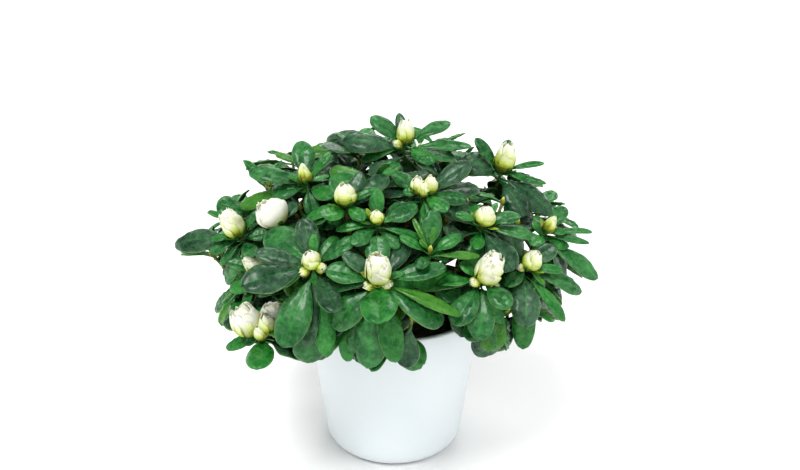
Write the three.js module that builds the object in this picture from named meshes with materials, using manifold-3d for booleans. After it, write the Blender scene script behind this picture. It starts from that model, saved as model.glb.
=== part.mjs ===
// A florist's azalea in bud, growing in a plain glazed pot. Millimetres, +Z up.
// The origin is the middle of the pot's flat underside, and the plant's best side faces -Y.
import * as THREE from 'three';
import { mergeVertices } from 'three/addons/utils/BufferGeometryUtils.js';
import Module from 'manifold-3d';

const wasm = await Module();
wasm.setup();

// Pot
const POT_HEIGHT = 121;
const RIM_RADIUS = 70;
const FOOT_RADIUS = 54; // where the wall's slope would meet the ground
const FOOT_ROUND = 14; // radius of the turn from wall to underside
const POT_WALL = 4;
const FLOOR_THICKNESS = 6;
const POT_SIDES = 36;
const ROUND_STEPS = 4; // faces round each rounded edge

// Peat in the pot
const PEAT_EDGE_BELOW_RIM = 9;
const PEAT_RISE = 4; // how far the middle stands above the edge
const PEAT_SHOULDER = { inward: 7, up: 0.8 };
const PEAT_MOUND = { outwardShare: 0.4, down: 0.7 };
const PEAT_SEAT_RADIUS = 15; // flat patch that the stem stands on
const PEAT_SIDES = 24;

// Main stem
const STEM_HEIGHT = 36;
const STEM_RADIUS = 6.2;
const STEM_TIP_RADIUS = 3.4;
const FLARE_RADIUS = 10.5;
const FLARE_HEIGHT = 9;
const STEM_LEAN = new THREE.Vector2(-3, 2); // how far the tip stands off the foot
const STEM_RINGS = [0, 2, 4.5, 8, 14, 20, 26, 31, STEM_HEIGHT];
const STEM_SIDES = 12;

// Boughs
const BOUGH_RADIUS = 2.9;
const BOUGH_TIP_RADIUS = 2.1;
const BOUGH_SIDES = 6;
const BOUGH_RINGS = 5;
const BOUGH_REACH = 0.46; // share of the way from the stem to the middle of its foliage
const BOUGH_SAG = 5;
const BOUGH_SWING = { low: 4, high: 9 }; // how far a bough swings out before it climbs

// Crown: an egg shape, flatter below, that the shoot tips lie on
const CROWN_MIDDLE = new THREE.Vector3(-5, 0, 166);
const TIP_REACH = { x: 130, y: 123, up: 82, down: 46 };
const CROWN_REACH = { x: 161, y: 152, up: 104, down: 70 }; // nothing grows past this

// Twigs. Each carries one shoot, its straight and leafy end.
const COLLAR_LENGTH = 4; // the straight start of a mass's own stem
const HUB_SHARE = 0.22; // where that stem starts to branch, on the way to the mass's middle
const TWIG_KNOTS = [0.4, 0.75]; // where other twigs may branch off
const TWIG_SAG = 0.09;
const DETOUR_COST = 0.3; // how much a long way through the wood counts
const TWIG_RADIUS = 1.5;
const TWIG_TIP_RADIUS = 1.1;
const STEM_END_RADIUS = 1.7;
const TWIG_SIDES = 3;
const MASS_STEM_SIDES = 4;

// Shoots
const FILL_SHOOTS = 73;
const LOWEST_RISE = -27; // degrees
const SHOOT_APART = 15.5; // degrees between a filling shoot and one of the shown ones
const SHOOT_WOBBLE = 3; // degrees
const SHOOT_SHARE = { least: 0.93, most: 1.1 }; // of the reach
const SHOOT_LENGTH = 23;
const SHOOT_OUTWARD = 0.72;
const SHOOT_UPWARD = 0.85;

// Leaves. Where two values stand, the first is for a shoot's top leaf and the second for its lowest.
const LEAVES_PER_SHOOT = 6;
const GOLDEN_ANGLE = 137.508;
const LEAF_LENGTH = 43;
const LEAF_GROWTH = { least: 0.68, most: 1.02, from: 0.12, to: 0.72 }; // young leaves are shorter
const LEAF_WIDTH_SHARE = 0.54;
const LEAF_THICKNESS = 1.3;
const LEAF_WIDEST = 0.6; // share of the length
const LEAF_THICKEST = 0.4;
const LEAF_FOLD = 0.7; // how far the edges hang below the midrib
const LEAF_SEAT = [2, 19]; // below the shoot's tip
const LEAF_OPEN = [64, 94]; // degrees from the shoot's axis
const TUFT_OPEN = 48; // the same for the top leaf of a shoot with no flower
const LEAF_OPENING = 0.8; // how early the leaves open, going down the shoot
const LEAF_BEND = [16, 44]; // degrees from root to tip
const LEAF_HANG = [0.1, 0.34];
const LEAF_FACES_UP = 0.35;
const WOBBLE = { open: 9, roll: 14, bend: 12, length: 0.13, width: 0.12 };

// Space left between solids that touch on the plant
const SEAT_GAP = 0.3;
const CLEARANCE = 0.5;
const WELD = 1e-3; // corners closer than this become one
const ROUNDING = 1e-4;

// Shoots that show from the front: degrees round from the front towards +X, degrees up from the
// crown's middle, share of the reach, and the flower at the tip.
const SHOWN_SHOOTS = [
  [48, 80, 1.0, 'half'],
  [92, 47, 1.0, 'half'],
  [19, 52, 1.0, 'triple'],
  [-17, 48, 1.0, 'plump'],
  [-48, 54, 1.0, 'pointed'],
  [-62, 22, 1.0, 'half'],
  [-46, 35, 0.97, 'open'],
  [-3, 38, 0.97, 'small'],
  [38, 34, 1.0, 'plump'],
  [72, 18, 1.0, 'pointed'],
  [50, 9, 1.0, 'plump'],
  [-23, 19, 1.0, 'plump'],
  [-2, 15, 1.0, 'half'],
  [30, 11, 1.0, 'half'],
  [-40, -25, 1.16, 'open'],
  [-51, 6, 0.93, 'half'],
  [16, 29, 1.0, 'none'],
  [-128, 77, 0.97, 'pointed'],
];
// Flowers that the filling shoots end in, dealt out by chance
const FILL_FLOWERS = ['none', 'plump', 'none', 'pointed', 'half', 'none', 'small', 'none', 'plump'];

// Height, radius and the height of the widest place, as a share, of each flower
const FLOWERS = {
  small: { height: 11, radius: 4.2, widest: 0.4, sides: 5 },
  pointed: { height: 20, radius: 5.6, widest: 0.38, sides: 5 },
  plump: { height: 20, radius: 8.4, widest: 0.42, sides: 6 },
  triple: { height: 20, radius: 10, widest: 0.5, sides: 6 },
  half: { height: 25, radius: 10.4, widest: 0.55, sides: 6 },
  open: { height: 27, radius: 16, widest: 0.62, sides: 6 },
};
const FLOWER_SEAT = 1.5; // how deep a flower sits on its shoot
const FLOWER_BASE = { radiusShare: 0.42, heightShare: 0.06 };
const FLOWER_SHOULDER = { radiusShare: 0.72, heightShare: 0.84 };

// Masses of foliage: name, degrees round from the front, degrees up, and how far up the main stem
// its bough starts. The top one grows from the stem's tip.
const MASSES = [
  ['top', 0, 90, STEM_HEIGHT],
  ['upper_front', 0, 46, 27],
  ['upper_right', 90, 46, 31],
  ['upper_back', 180, 46, 27],
  ['upper_left', -90, 46, 31],
  ['lower_front_left', -26, 3, 7],
  ['lower_front_right', 26, 3, 14],
  ['lower_right', 77, 3, 7],
  ['lower_back_right', 129, 3, 14],
  ['lower_back', 180, 3, 7],
  ['lower_back_left', -129, 3, 14],
  ['lower_left', -77, 3, 20.5],
];
const HIGH_RISE = 20; // masses above this are high ones

const UP = new THREE.Vector3(0, 0, 1);
const rad = THREE.MathUtils.degToRad;
const deg = THREE.MathUtils.radToDeg;
const mix = THREE.MathUtils.lerp;

// A number from 0 to 1 that depends only on what it is for: a hash of three whole numbers.
function chance(shoot, leaf, use) {
  let hash = Math.imul(shoot + 1, 0x9e3779b1);
  hash ^= Math.imul(leaf + 1, 0x85ebca77);
  hash ^= Math.imul(use + 1, 0xc2b2ae3d);
  hash = Math.imul(hash ^ (hash >>> 15), 0x2c1b3c6d);
  hash = Math.imul(hash ^ (hash >>> 12), 0x297a2d39);
  hash ^= hash >>> 15;
  return (hash >>> 0) / 2 ** 32;
}

function direction(azimuth, rise) {
  const a = rad(azimuth);
  const r = rad(rise);
  return new THREE.Vector3(Math.sin(a) * Math.cos(r), -Math.cos(a) * Math.cos(r), Math.sin(r));
}

function onCrown(way, reach, share) {
  const high = way.z > 0 ? reach.up : reach.down;
  const offset = new THREE.Vector3(way.x * reach.x, way.y * reach.y, way.z * high);
  return offset.multiplyScalar(share).add(CROWN_MIDDLE);
}

function insideCrown(point) {
  const p = point.clone().sub(CROWN_MIDDLE);
  const high = p.z > 0 ? CROWN_REACH.up : CROWN_REACH.down;
  return Math.hypot(p.x / CROWN_REACH.x, p.y / CROWN_REACH.y, p.z / high) < 1;
}

// Solids
function solidOf(geometry) {
  const bare = geometry.clone();
  bare.deleteAttribute('normal');
  bare.deleteAttribute('uv');
  const merged = mergeVertices(bare, WELD);
  const index = merged.index.array;
  const triVerts = [];
  for (let i = 0; i < index.length; i += 3) {
    const [a, b, c] = [index[i], index[i + 1], index[i + 2]];
    if (a !== b && b !== c && a !== c) triVerts.push(a, b, c);
  }
  const vertProperties = new Float32Array(merged.attributes.position.array);
  return new wasm.Manifold(
    new wasm.Mesh({ numProp: 3, vertProperties, triVerts: new Uint32Array(triVerts) }),
  );
}

function geometryOf(solid) {
  const mesh = solid.getMesh();
  const geometry = new THREE.BufferGeometry();
  geometry.setAttribute('position', new THREE.BufferAttribute(new Float32Array(mesh.vertProperties), 3));
  geometry.setIndex(new THREE.BufferAttribute(new Uint32Array(mesh.triVerts), 1));
  const faceted = geometry.toNonIndexed();
  faceted.computeVertexNormals();
  return faceted;
}

function boxOf(geometry) {
  geometry.computeBoundingBox();
  return geometry.boundingBox.clone();
}

// The largest body of a solid, without the hollows sealed in it.
function oneBody(solid) {
  return solid.decompose().reduce((best, body) => (body.volume() > best.volume() ? body : best));
}

// A point on an edge where other than two faces meet once the corners are rounded, or null.
function pinchOf(solid) {
  const { vertProperties, triVerts } = solid.getMesh();
  const names = [];
  for (let i = 0; i < vertProperties.length; i += 3) {
    names.push([0, 1, 2].map((k) => Math.round(vertProperties[i + k] / ROUNDING)).join());
  }
  const edges = new Map();
  for (let i = 0; i < triVerts.length; i += 3) {
    const corners = [0, 1, 2].map((k) => triVerts[i + k]);
    if (new Set(corners.map((corner) => names[corner])).size < 3) continue;
    corners.forEach((from, k) => {
      const edge = [names[from], names[corners[(k + 1) % 3]]].sort().join(';');
      const faces = edges.has(edge) ? edges.get(edge).faces + 1 : 1;
      edges.set(edge, { faces, from });
    });
  }
  for (const { faces, from } of edges.values()) {
    if (faces !== 2) return new THREE.Vector3().fromArray(vertProperties, 3 * from);
  }
  return null;
}

// One body made of the given pieces. A leaf whose join pinches the surface is left out.
function joined(parts) {
  for (;;) {
    const union = wasm.Manifold.union(parts.map((part) => part.solid));
    const body = solidOf(geometryOf(oneBody(union)));
    const pinch = pinchOf(body);
    if (!pinch) return body;
    const leaf = parts.findLast((part) => part.leaf && part.box.distanceToPoint(pinch) < CLEARANCE);
    parts.splice(parts.indexOf(leaf), 1);
  }
}

// A tube of flat-sided rings along points, with a radius at each point.
function limbGeometry(points, radii, sides) {
  const position = [];
  const index = [];
  let across = new THREE.Vector3(0.37, 0.61, 0.2);
  points.forEach((point, i) => {
    const after = points[Math.min(i + 1, points.length - 1)];
    const before = points[Math.max(i - 1, 0)];
    const ahead = after.clone().sub(before).normalize();
    across = across.clone().addScaledVector(ahead, -across.dot(ahead)).normalize();
    const other = ahead.clone().cross(across);
    for (let s = 0; s < sides; s++) {
      const turn = (2 * Math.PI * s) / sides;
      const spot = point.clone().addScaledVector(across, radii[i] * Math.cos(turn));
      position.push(...spot.addScaledVector(other, radii[i] * Math.sin(turn)).toArray());
    }
  });
  const last = (points.length - 1) * sides;
  for (let i = 0; i < last; i += sides) {
    for (let s = 0; s < sides; s++) {
      const next = (s + 1) % sides;
      index.push(i + s, i + next, i + sides + next);
      index.push(i + s, i + sides + next, i + sides + s);
    }
  }
  for (let s = 1; s < sides - 1; s++) {
    index.push(0, s + 1, s);
    index.push(last, last + s, last + s + 1);
  }
  const geometry = new THREE.BufferGeometry();
  geometry.setAttribute('position', new THREE.Float32BufferAttribute(position, 3));
  geometry.setIndex(index);
  return geometry;
}

// A lathe about +Z from a profile of [radius, height] pairs.
function turned(profile, sides) {
  const points = profile.map(([radius, height]) => new THREE.Vector2(radius, height));
  return new THREE.LatheGeometry(points, sides).rotateX(Math.PI / 2);
}

function arc(middleRadius, middleHeight, radius, from, to) {
  return Array.from({ length: ROUND_STEPS + 1 }, (_, i) => {
    const turn = rad(mix(from, to, i / ROUND_STEPS));
    return [middleRadius + radius * Math.cos(turn), middleHeight + radius * Math.sin(turn)];
  });
}

// Pot
const wallLean = Math.atan2(RIM_RADIUS - FOOT_RADIUS, POT_HEIGHT);
const flatRadius = FOOT_RADIUS - FOOT_ROUND * Math.tan((Math.PI / 2 - wallLean) / 2);
const innerRound = FOOT_ROUND - POT_WALL;

function innerRadius(height) {
  return FOOT_RADIUS + height * Math.tan(wallLean) - POT_WALL / Math.cos(wallLean);
}

function potGeometry() {
  const lean = deg(wallLean);
  const lip = POT_WALL / 2;
  return turned([
    [0, 0],
    ...arc(flatRadius, FOOT_ROUND, FOOT_ROUND, -90, -lean),
    ...arc(RIM_RADIUS - lip, POT_HEIGHT - lip, lip, 0, 180),
    ...arc(flatRadius, FLOOR_THICKNESS + innerRound, innerRound, -lean, -90),
    [0, FLOOR_THICKNESS],
  ], POT_SIDES);
}

// Peat
const peatEdge = POT_HEIGHT - PEAT_EDGE_BELOW_RIM;
const ground = peatEdge + PEAT_RISE;

function peatGeometry() {
  const floor = FLOOR_THICKNESS + SEAT_GAP;
  const edgeRadius = innerRadius(peatEdge) - 2 * SEAT_GAP;
  return turned([
    [0, floor],
    ...arc(flatRadius - SEAT_GAP, floor + innerRound, innerRound, -90, 0),
    [edgeRadius, peatEdge],
    [edgeRadius - PEAT_SHOULDER.inward, peatEdge + PEAT_SHOULDER.up],
    [mix(PEAT_SEAT_RADIUS, edgeRadius, PEAT_MOUND.outwardShare), ground - PEAT_MOUND.down],
    [PEAT_SEAT_RADIUS, ground],
    [0, ground],
  ], PEAT_SIDES);
}

// Main stem
function stemPoint(height) {
  const share = height / STEM_HEIGHT;
  const lean = STEM_LEAN.clone().multiplyScalar(share * share);
  return new THREE.Vector3(lean.x, lean.y, ground + SEAT_GAP + height);
}

function stemRadius(height) {
  const flare = Math.max(0, 1 - height / FLARE_HEIGHT);
  const taper = mix(STEM_RADIUS, STEM_TIP_RADIUS, height / STEM_HEIGHT);
  return taper + (FLARE_RADIUS - STEM_RADIUS) * flare * flare;
}

function stemGeometry(extra) {
  const radii = STEM_RINGS.map((height) => stemRadius(height) + extra);
  const geometry = limbGeometry(STEM_RINGS.map(stemPoint), radii, STEM_SIDES);
  const place = geometry.attributes.position;
  for (let i = 0; i < STEM_SIDES; i++) place.setZ(i, ground + SEAT_GAP); // the flat cut
  return geometry;
}

// Shoots
function shootList() {
  const shoots = SHOWN_SHOOTS.map(([azimuth, rise, share, flower]) => (
    { way: direction(azimuth, rise), share, flower }
  ));
  const shownWays = shoots.map((shoot) => shoot.way);
  const lowest = Math.sin(rad(LOWEST_RISE));
  for (let i = 0; i < FILL_SHOOTS; i++) {
    const sine = mix(lowest, 1, (i + 0.5) / FILL_SHOOTS);
    const rise = deg(Math.asin(sine)) + SHOOT_WOBBLE * (2 * chance(i, 0, 1) - 1);
    const azimuth = i * GOLDEN_ANGLE + SHOOT_WOBBLE * (2 * chance(i, 0, 2) - 1);
    const way = direction(azimuth, rise);
    if (shownWays.some((shown) => shown.angleTo(way) < rad(SHOOT_APART))) continue;
    const flower = FILL_FLOWERS[Math.floor(chance(i, 0, 3) * FILL_FLOWERS.length)];
    shoots.push({ way, share: mix(SHOOT_SHARE.least, SHOOT_SHARE.most, chance(i, 0, 4)), flower });
  }
  const masses = MASSES.map(([, azimuth, rise]) => direction(azimuth, rise));
  shoots.forEach((shoot, number) => {
    const { way } = shoot;
    const high = way.z > 0 ? TIP_REACH.up : TIP_REACH.down;
    const outward = new THREE.Vector3(way.x / TIP_REACH.x, way.y / TIP_REACH.y, way.z / high);
    outward.setLength(SHOOT_OUTWARD);
    shoot.number = number;
    shoot.tip = onCrown(way, TIP_REACH, shoot.share);
    shoot.axis = outward.addScaledVector(UP, SHOOT_UPWARD).normalize();
    shoot.foot = shoot.tip.clone().addScaledVector(shoot.axis, -SHOOT_LENGTH);
    const angles = masses.map((mass) => mass.angleTo(way));
    shoot.mass = angles.indexOf(Math.min(...angles));
  });
  return shoots;
}

// Twigs
// The twigs of one mass: each starts from the grown wood that is nearest to its shoot.
function twigList(shoots, hub) {
  const wood = [{ point: hub, far: 0 }];
  const twigs = [];
  const nearestFirst = [...shoots].sort((a, b) => a.foot.distanceTo(hub) - b.foot.distanceTo(hub));
  for (const shoot of nearestFirst) {
    const cost = (place) => place.point.distanceTo(shoot.foot) + DETOUR_COST * place.far;
    const from = wood.reduce((best, place) => (cost(place) < cost(best) ? place : best));
    const span = shoot.foot.distanceTo(from.point);
    const points = [from.point];
    for (const share of TWIG_KNOTS) {
      const point = from.point.clone().lerp(shoot.foot, share);
      point.z -= TWIG_SAG * span * Math.sin(Math.PI * share);
      points.push(point);
      wood.push({ point, far: from.far + share * span });
    }
    points.push(shoot.foot, shoot.tip);
    twigs.push({ shoot, points });
  }
  return twigs;
}

function twigGeometry(points, extra) {
  const last = points.length - 1;
  const radii = points.map((_, i) => mix(TWIG_RADIUS, TWIG_TIP_RADIUS, i / last) + extra);
  return limbGeometry(points, radii, TWIG_SIDES);
}

// Leaves
// Where leaf number `rank` of a shoot grows and how it is held. `turn` and `lift`, in degrees, nudge it.
function leafOf(shoot, rank, turn, lift) {
  const { axis, tip, number } = shoot;
  const low = rank / (LEAVES_PER_SHOOT - 1);
  const wobble = (use) => 2 * chance(number, rank, use) - 1;
  const side = new THREE.Vector3(0.3, 0.2, 1).cross(axis).normalize();
  const around = side.applyAxisAngle(axis, rad(rank * GOLDEN_ANGLE + 360 * chance(number, 0, 5) + turn));
  const topOpen = shoot.flower === 'none' ? TUFT_OPEN : LEAF_OPEN[0];
  const open = rad(mix(topOpen, LEAF_OPEN[1], low ** LEAF_OPENING) + WOBBLE.open * wobble(6) + lift);
  const ahead = axis.clone().multiplyScalar(Math.cos(open)).addScaledVector(around, Math.sin(open));
  ahead.z -= mix(...LEAF_HANG, low);
  ahead.normalize();
  const face = axis.clone().lerp(UP, LEAF_FACES_UP);
  face.addScaledVector(ahead, -face.dot(ahead)).normalize();
  face.applyAxisAngle(ahead, rad(WOBBLE.roll * wobble(7)));
  const growth = Math.sin(Math.PI * mix(LEAF_GROWTH.from, LEAF_GROWTH.to, low));
  const size = mix(LEAF_GROWTH.least, LEAF_GROWTH.most, growth) * (1 + WOBBLE.length * wobble(8));
  const length = LEAF_LENGTH * size;
  return {
    root: tip.clone().addScaledVector(axis, -mix(...LEAF_SEAT, low)),
    ahead,
    face,
    length,
    width: length * LEAF_WIDTH_SHARE * (1 + WOBBLE.width * wobble(9)),
    bend: rad(mix(...LEAF_BEND, low) + WOBBLE.bend * wobble(10)),
  };
}

// A point of the leaf: `along` from root to tip, `out` to the side in millimetres, `above` its face.
function leafPoint(leaf, along, out, above) {
  const turn = leaf.bend * along;
  const radius = leaf.length / leaf.bend;
  const side = leaf.face.clone().cross(leaf.ahead);
  const normal = leaf.face.clone().multiplyScalar(Math.cos(turn));
  normal.addScaledVector(leaf.ahead, Math.sin(turn));
  return leaf.root.clone()
    .addScaledVector(leaf.ahead, radius * Math.sin(turn))
    .addScaledVector(leaf.face, -radius * (1 - Math.cos(turn)))
    .addScaledVector(side, out)
    .addScaledVector(normal, above);
}

function leafGeometry(leaf, extra) {
  const half = leaf.width / 2 + extra;
  const thick = LEAF_THICKNESS / 2 + extra;
  const corners = [
    leafPoint(leaf, 0, 0, 0),
    leafPoint(leaf, LEAF_WIDEST, -half, -LEAF_FOLD),
    leafPoint(leaf, 1 + extra / leaf.length, 0, 0),
    leafPoint(leaf, LEAF_WIDEST, half, -LEAF_FOLD),
    leafPoint(leaf, LEAF_THICKEST, 0, thick),
    leafPoint(leaf, LEAF_THICKEST, 0, -thick),
  ];
  const [root, left, end, right, top, under] = corners.keys();
  const index = [
    top, root, left, top, left, end, top, end, right, top, right, root,
    under, left, root, under, end, left, under, right, end, under, root, right,
  ];
  const position = corners.flatMap((corner) => corner.toArray());
  const geometry = new THREE.BufferGeometry();
  geometry.setAttribute('position', new THREE.Float32BufferAttribute(position, 3));
  geometry.setIndex(index);
  return geometry;
}

// A bud or flower that stands on a shoot's tip.
function flowerGeometry(shoot, extra) {
  const { height, radius, widest, sides } = FLOWERS[shoot.flower];
  const turn = new THREE.Quaternion().setFromUnitVectors(UP, shoot.axis);
  const flower = turned([
    [0, -FLOWER_SEAT - extra],
    [FLOWER_BASE.radiusShare * radius + extra, FLOWER_BASE.heightShare * height],
    [radius + extra, widest * height],
    [FLOWER_SHOULDER.radiusShare * radius + extra, FLOWER_SHOULDER.heightShare * height],
    [0, height + extra],
  ], sides);
  return flower.applyQuaternion(turn).translate(...shoot.tip.toArray());
}

// Growing the plant
const pieces = []; // everything that is already there, to keep clear of
const NONE = -1; // the mass or shoot of a piece that belongs to none

function keep(mass, shoot, geometry, leaf = false) {
  const piece = { mass, shoot, leaf, box: boxOf(geometry), solid: solidOf(geometry) };
  pieces.push(piece);
  return piece;
}

function touches(geometry, matters) {
  const box = boxOf(geometry);
  const near = pieces.filter((piece) => matters(piece) && piece.box.intersectsBox(box));
  if (!near.length) return false;
  const solid = solidOf(geometry);
  return near.some((piece) => !piece.solid.intersect(solid).isEmpty());
}

// A mass with its bough, the stem of its own that goes on from the bough, and the twigs on that.
function growMass([name, azimuth, rise, height], mass) {
  const own = shoots.filter((shoot) => shoot.mass === mass);
  const middle = new THREE.Vector3();
  own.forEach((shoot) => middle.addScaledVector(shoot.foot, 1 / own.length));
  const start = stemPoint(height);
  const grown = { name, mass, own, bough: null, parts: [] };
  let end = start;
  let ahead = start.clone().sub(stemPoint(height - COLLAR_LENGTH)).normalize();
  if (name !== 'top') {
    end = start.clone().lerp(middle, BOUGH_REACH);
    const swing = rise > HIGH_RISE ? BOUGH_SWING.high : BOUGH_SWING.low;
    const control = start.clone().lerp(end, 0.5).addScaledVector(direction(azimuth, 0), swing);
    control.z -= BOUGH_SAG;
    const last = BOUGH_RINGS - 1;
    const points = new THREE.QuadraticBezierCurve3(start, control, end).getPoints(last);
    const radii = points.map((_, i) => mix(BOUGH_RADIUS, BOUGH_TIP_RADIUS, i / last));
    ahead = end.clone().sub(points[last - 1]).normalize();
    grown.bough = keep(NONE, NONE, limbGeometry(points, radii, BOUGH_SIDES));
    grown.bough.solid = oneBody(grown.bough.solid.subtract(stemWithGap));
  }
  const stemStart = end.clone().addScaledVector(ahead, SEAT_GAP);
  const collar = stemStart.clone().addScaledVector(ahead, COLLAR_LENGTH);
  const hub = collar.clone().lerp(middle, HUB_SHARE);
  const stemRadii = [BOUGH_TIP_RADIUS, BOUGH_TIP_RADIUS, STEM_END_RADIUS];
  grown.stem = limbGeometry([stemStart, collar, hub], stemRadii, MASS_STEM_SIDES);
  grown.twigs = twigList(own, hub);
  return grown;
}

// The twigs of a mass. One that would touch a limb or another mass is left out.
function growTwigs(grown) {
  grown.parts.push(keep(grown.mass, NONE, grown.stem));
  for (const { shoot, points } of grown.twigs) {
    if (touches(twigGeometry(points, CLEARANCE), (piece) => piece.mass !== grown.mass)) continue;
    shoot.grown = true;
    grown.parts.push(keep(grown.mass, shoot.number, twigGeometry(points, 0)));
  }
}

function growFlowers(grown) {
  for (const shoot of grown.own) {
    if (!shoot.grown || shoot.flower === 'none') continue;
    if (touches(flowerGeometry(shoot, CLEARANCE), (piece) => piece.mass !== grown.mass)) continue;
    grown.parts.push(keep(grown.mass, shoot.number, flowerGeometry(shoot, 0)));
  }
}

// A leaf takes the first of these nudges, [round the twig, up or down] in degrees, that keeps it clear.
const NUDGES = [
  [0, 0], [12, 8], [-12, -8], [22, -14], [-22, 14], [6, 24], [-6, -24],
  [34, 4], [-34, -4], [28, 30], [-28, -30], [44, -18], [-44, 18],
];

// The leaf, or null where it can't be kept clear of the other shoots, the limbs and the pot.
function placeLeaf(mass, shoot, rank) {
  const otherShoot = (piece) => piece.mass === mass && piece.shoot !== shoot.number;
  for (const [turn, lift] of NUDGES) {
    const leaf = leafOf(shoot, rank, turn, lift);
    const sides = [-leaf.width / 2, leaf.width / 2].map((out) => leafPoint(leaf, LEAF_WIDEST, out, 0));
    if (![leafPoint(leaf, 1, 0, 0), ...sides].every(insideCrown)) continue;
    if (touches(leafGeometry(leaf, CLEARANCE), (piece) => piece.mass !== mass)) continue;
    if (touches(leafGeometry(leaf, 0), otherShoot)) continue;
    return leaf;
  }
  return null;
}

function growLeaves(grown, rank) {
  for (const shoot of grown.own.filter((one) => one.grown)) {
    const leaf = placeLeaf(grown.mass, shoot, rank);
    if (leaf) grown.parts.push(keep(grown.mass, shoot.number, leafGeometry(leaf, 0), true));
  }
}

const pot = keep(NONE, NONE, potGeometry());
const peat = keep(NONE, NONE, peatGeometry());
const mainStem = keep(NONE, NONE, stemGeometry(0));
const stemWithGap = solidOf(stemGeometry(SEAT_GAP));
const shoots = shootList();
const masses = MASSES.map(growMass);
masses.forEach(growTwigs);
masses.forEach(growFlowers);
for (let rank = 0; rank < LEAVES_PER_SHOOT; rank++) {
  masses.forEach((grown) => growLeaves(grown, rank));
}

// Finishes
function finish(color, roughness) {
  return new THREE.MeshStandardMaterial({ color, roughness, metalness: 0, flatShading: true });
}
const FINISHES = {
  glaze: finish('#e9f0f2', 0.2),
  peat: finish('#2b1d16', 0.95),
  bark: finish('#6b5138', 0.85),
  foliage: finish('#2d6b38', 0.5),
};

const plant = new THREE.Group();
function add(name, solid, material) {
  const mesh = new THREE.Mesh(geometryOf(solid), material);
  mesh.name = name;
  plant.add(mesh);
}

add('pot', pot.solid, FINISHES.glaze);
add('peat', peat.solid, FINISHES.peat);
add('main_stem', mainStem.solid, FINISHES.bark);
for (const { name, bough, parts } of masses) {
  if (bough) add('bough_' + name, bough.solid, FINISHES.bark);
  add('foliage_' + name, joined(parts), FINISHES.foliage);
}

export default plant;
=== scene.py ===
import math

import bpy
import numpy as np
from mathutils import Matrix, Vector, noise
from mathutils.bvhtree import BVHTree


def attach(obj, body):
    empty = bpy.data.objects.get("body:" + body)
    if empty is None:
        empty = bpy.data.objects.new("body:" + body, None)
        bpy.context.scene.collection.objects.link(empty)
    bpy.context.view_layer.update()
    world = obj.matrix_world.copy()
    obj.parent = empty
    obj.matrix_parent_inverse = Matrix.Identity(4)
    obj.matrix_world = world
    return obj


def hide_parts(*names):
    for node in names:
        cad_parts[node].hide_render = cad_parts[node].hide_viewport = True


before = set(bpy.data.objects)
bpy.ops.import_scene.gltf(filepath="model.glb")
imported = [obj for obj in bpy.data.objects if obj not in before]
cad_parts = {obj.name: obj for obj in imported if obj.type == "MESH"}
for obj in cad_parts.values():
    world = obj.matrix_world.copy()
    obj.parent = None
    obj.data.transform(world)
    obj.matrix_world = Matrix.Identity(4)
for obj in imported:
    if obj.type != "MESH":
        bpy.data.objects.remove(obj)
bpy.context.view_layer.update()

# A florist's azalea in bud, in a white glazed pot. Lengths are in millimetres until a mesh is made.
# +Z is up, the origin is the middle of the pot's underside, and the plant's best side faces -Y.
MM = 0.001

# Camera, as fitted to the pot in the photo, and the photo's size in pixels
CAMERA_TARGET = np.array([5, 0, 177.3])
CAMERA_DISTANCE = 700
CAMERA_ELEVATION = 20.3
FOCAL_PIXELS = 900
PICTURE_WIDTH = 800
PICTURE_HEIGHT = 470
SENSOR_WIDTH = 36
CAMERA_SIGHT = (0.05, 60)  # metres

# Studio: each sun's degrees round from the front, degrees up, strength and width in degrees
SUNS = {"key": (-30, 60, 2.0, 22), "fill": (28, 36, 1.1, 70), "back": (165, 50, 1.0, 30)}
WORLD_LIGHT = 0.26
FLOOR_FLAT = 3200
FLOOR_RISE = 2400
FLOOR_SIDES = 96
FLOOR_STEP = 10  # degrees of the rise

# Ellipses of the picture, in its pixels, where the plant is open: middle, half width, half height
OPEN_PLACES = {
    "shoulder": (203, 176, 40, 26),
    "left gap": (257, 190, 6, 5),
    "twig gap": (474, 183, 11, 7),
    "right gap": (499, 205, 6, 4),
    "low gap": (449, 264, 5, 5),
    "side gap": (520, 244, 5, 4),
    "peat": (440, 330, 24, 8),
    "over the left leaf": (188, 220, 18, 13),
    "under the left leaf": (199, 284, 25, 27),
    "right notch": (580, 308, 16, 9),
}

# Pot
POT_HEIGHT = 121
RIM_RADIUS = 70
FOOT_RADIUS = 54  # where the wall's slope would meet the ground
FOOT_ROUND = 14
POT_WALL = 4
FLOOR_THICKNESS = 6
POT_SIDES = 144
ROUND_STEPS = 12
WALL_STEPS = {"outer": 16, "inner": 10}
FOOT_RING = 3.2  # width of the bare clay ring that the pot stands on
FOOT_HOLLOW = 0.8  # how far the underside is sunk inside the ring
FOOT_CHAMFER = ((1.2, 0.8), (0.3, 0.55))  # inward of the ring, and up
BARE_BELOW = 0.9

# Peat
PEAT_EDGE_BELOW_RIM = 9
PEAT_RISE = 4
PEAT_SIDES = 110
PEAT_RINGS = 34
PEAT_SIDE_RINGS = 6
PEAT_FOOT = (0.9, 1)  # share of the pot's flat inside, and height above it
PEAT_SHOULDER = 6  # how far below its edge the peat leaves the wall
PEAT_FLAT = 0.15  # share of the radius where the mound is level
PEAT_FALL = 0.72  # about the square of the other share, so that the mound ends at the wall
PEAT_LUMPS = ((1.1, 9, 3.0), (0.6, 3.1, 7.0))  # height, width, and a number to tell them apart
PEAT_CALM = 8  # radius round the stem where the peat is even
PEAT_ROUGHENS = 10  # how far out from there it gets its full lumps
PEAT_PRESSED = 0.4  # how far it is pressed down where it is even
PEAT_CRUMBS = 760
PEAT_FIBRES = 46
LITTER_FROM = 13  # crumbs and fibres lie so far from the middle or more
LITTER_EDGE = 2.5
CRUMB_SIZE = (0.5, 1.7)
CRUMB_PROFILE = [(0, -0.9), (0.75, -0.5), (1, 0.1), (0.6, 0.75), (0, 0.95)]
CRUMB_SIDES = 6
CRUMB_ROUGH = 0.35
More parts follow.
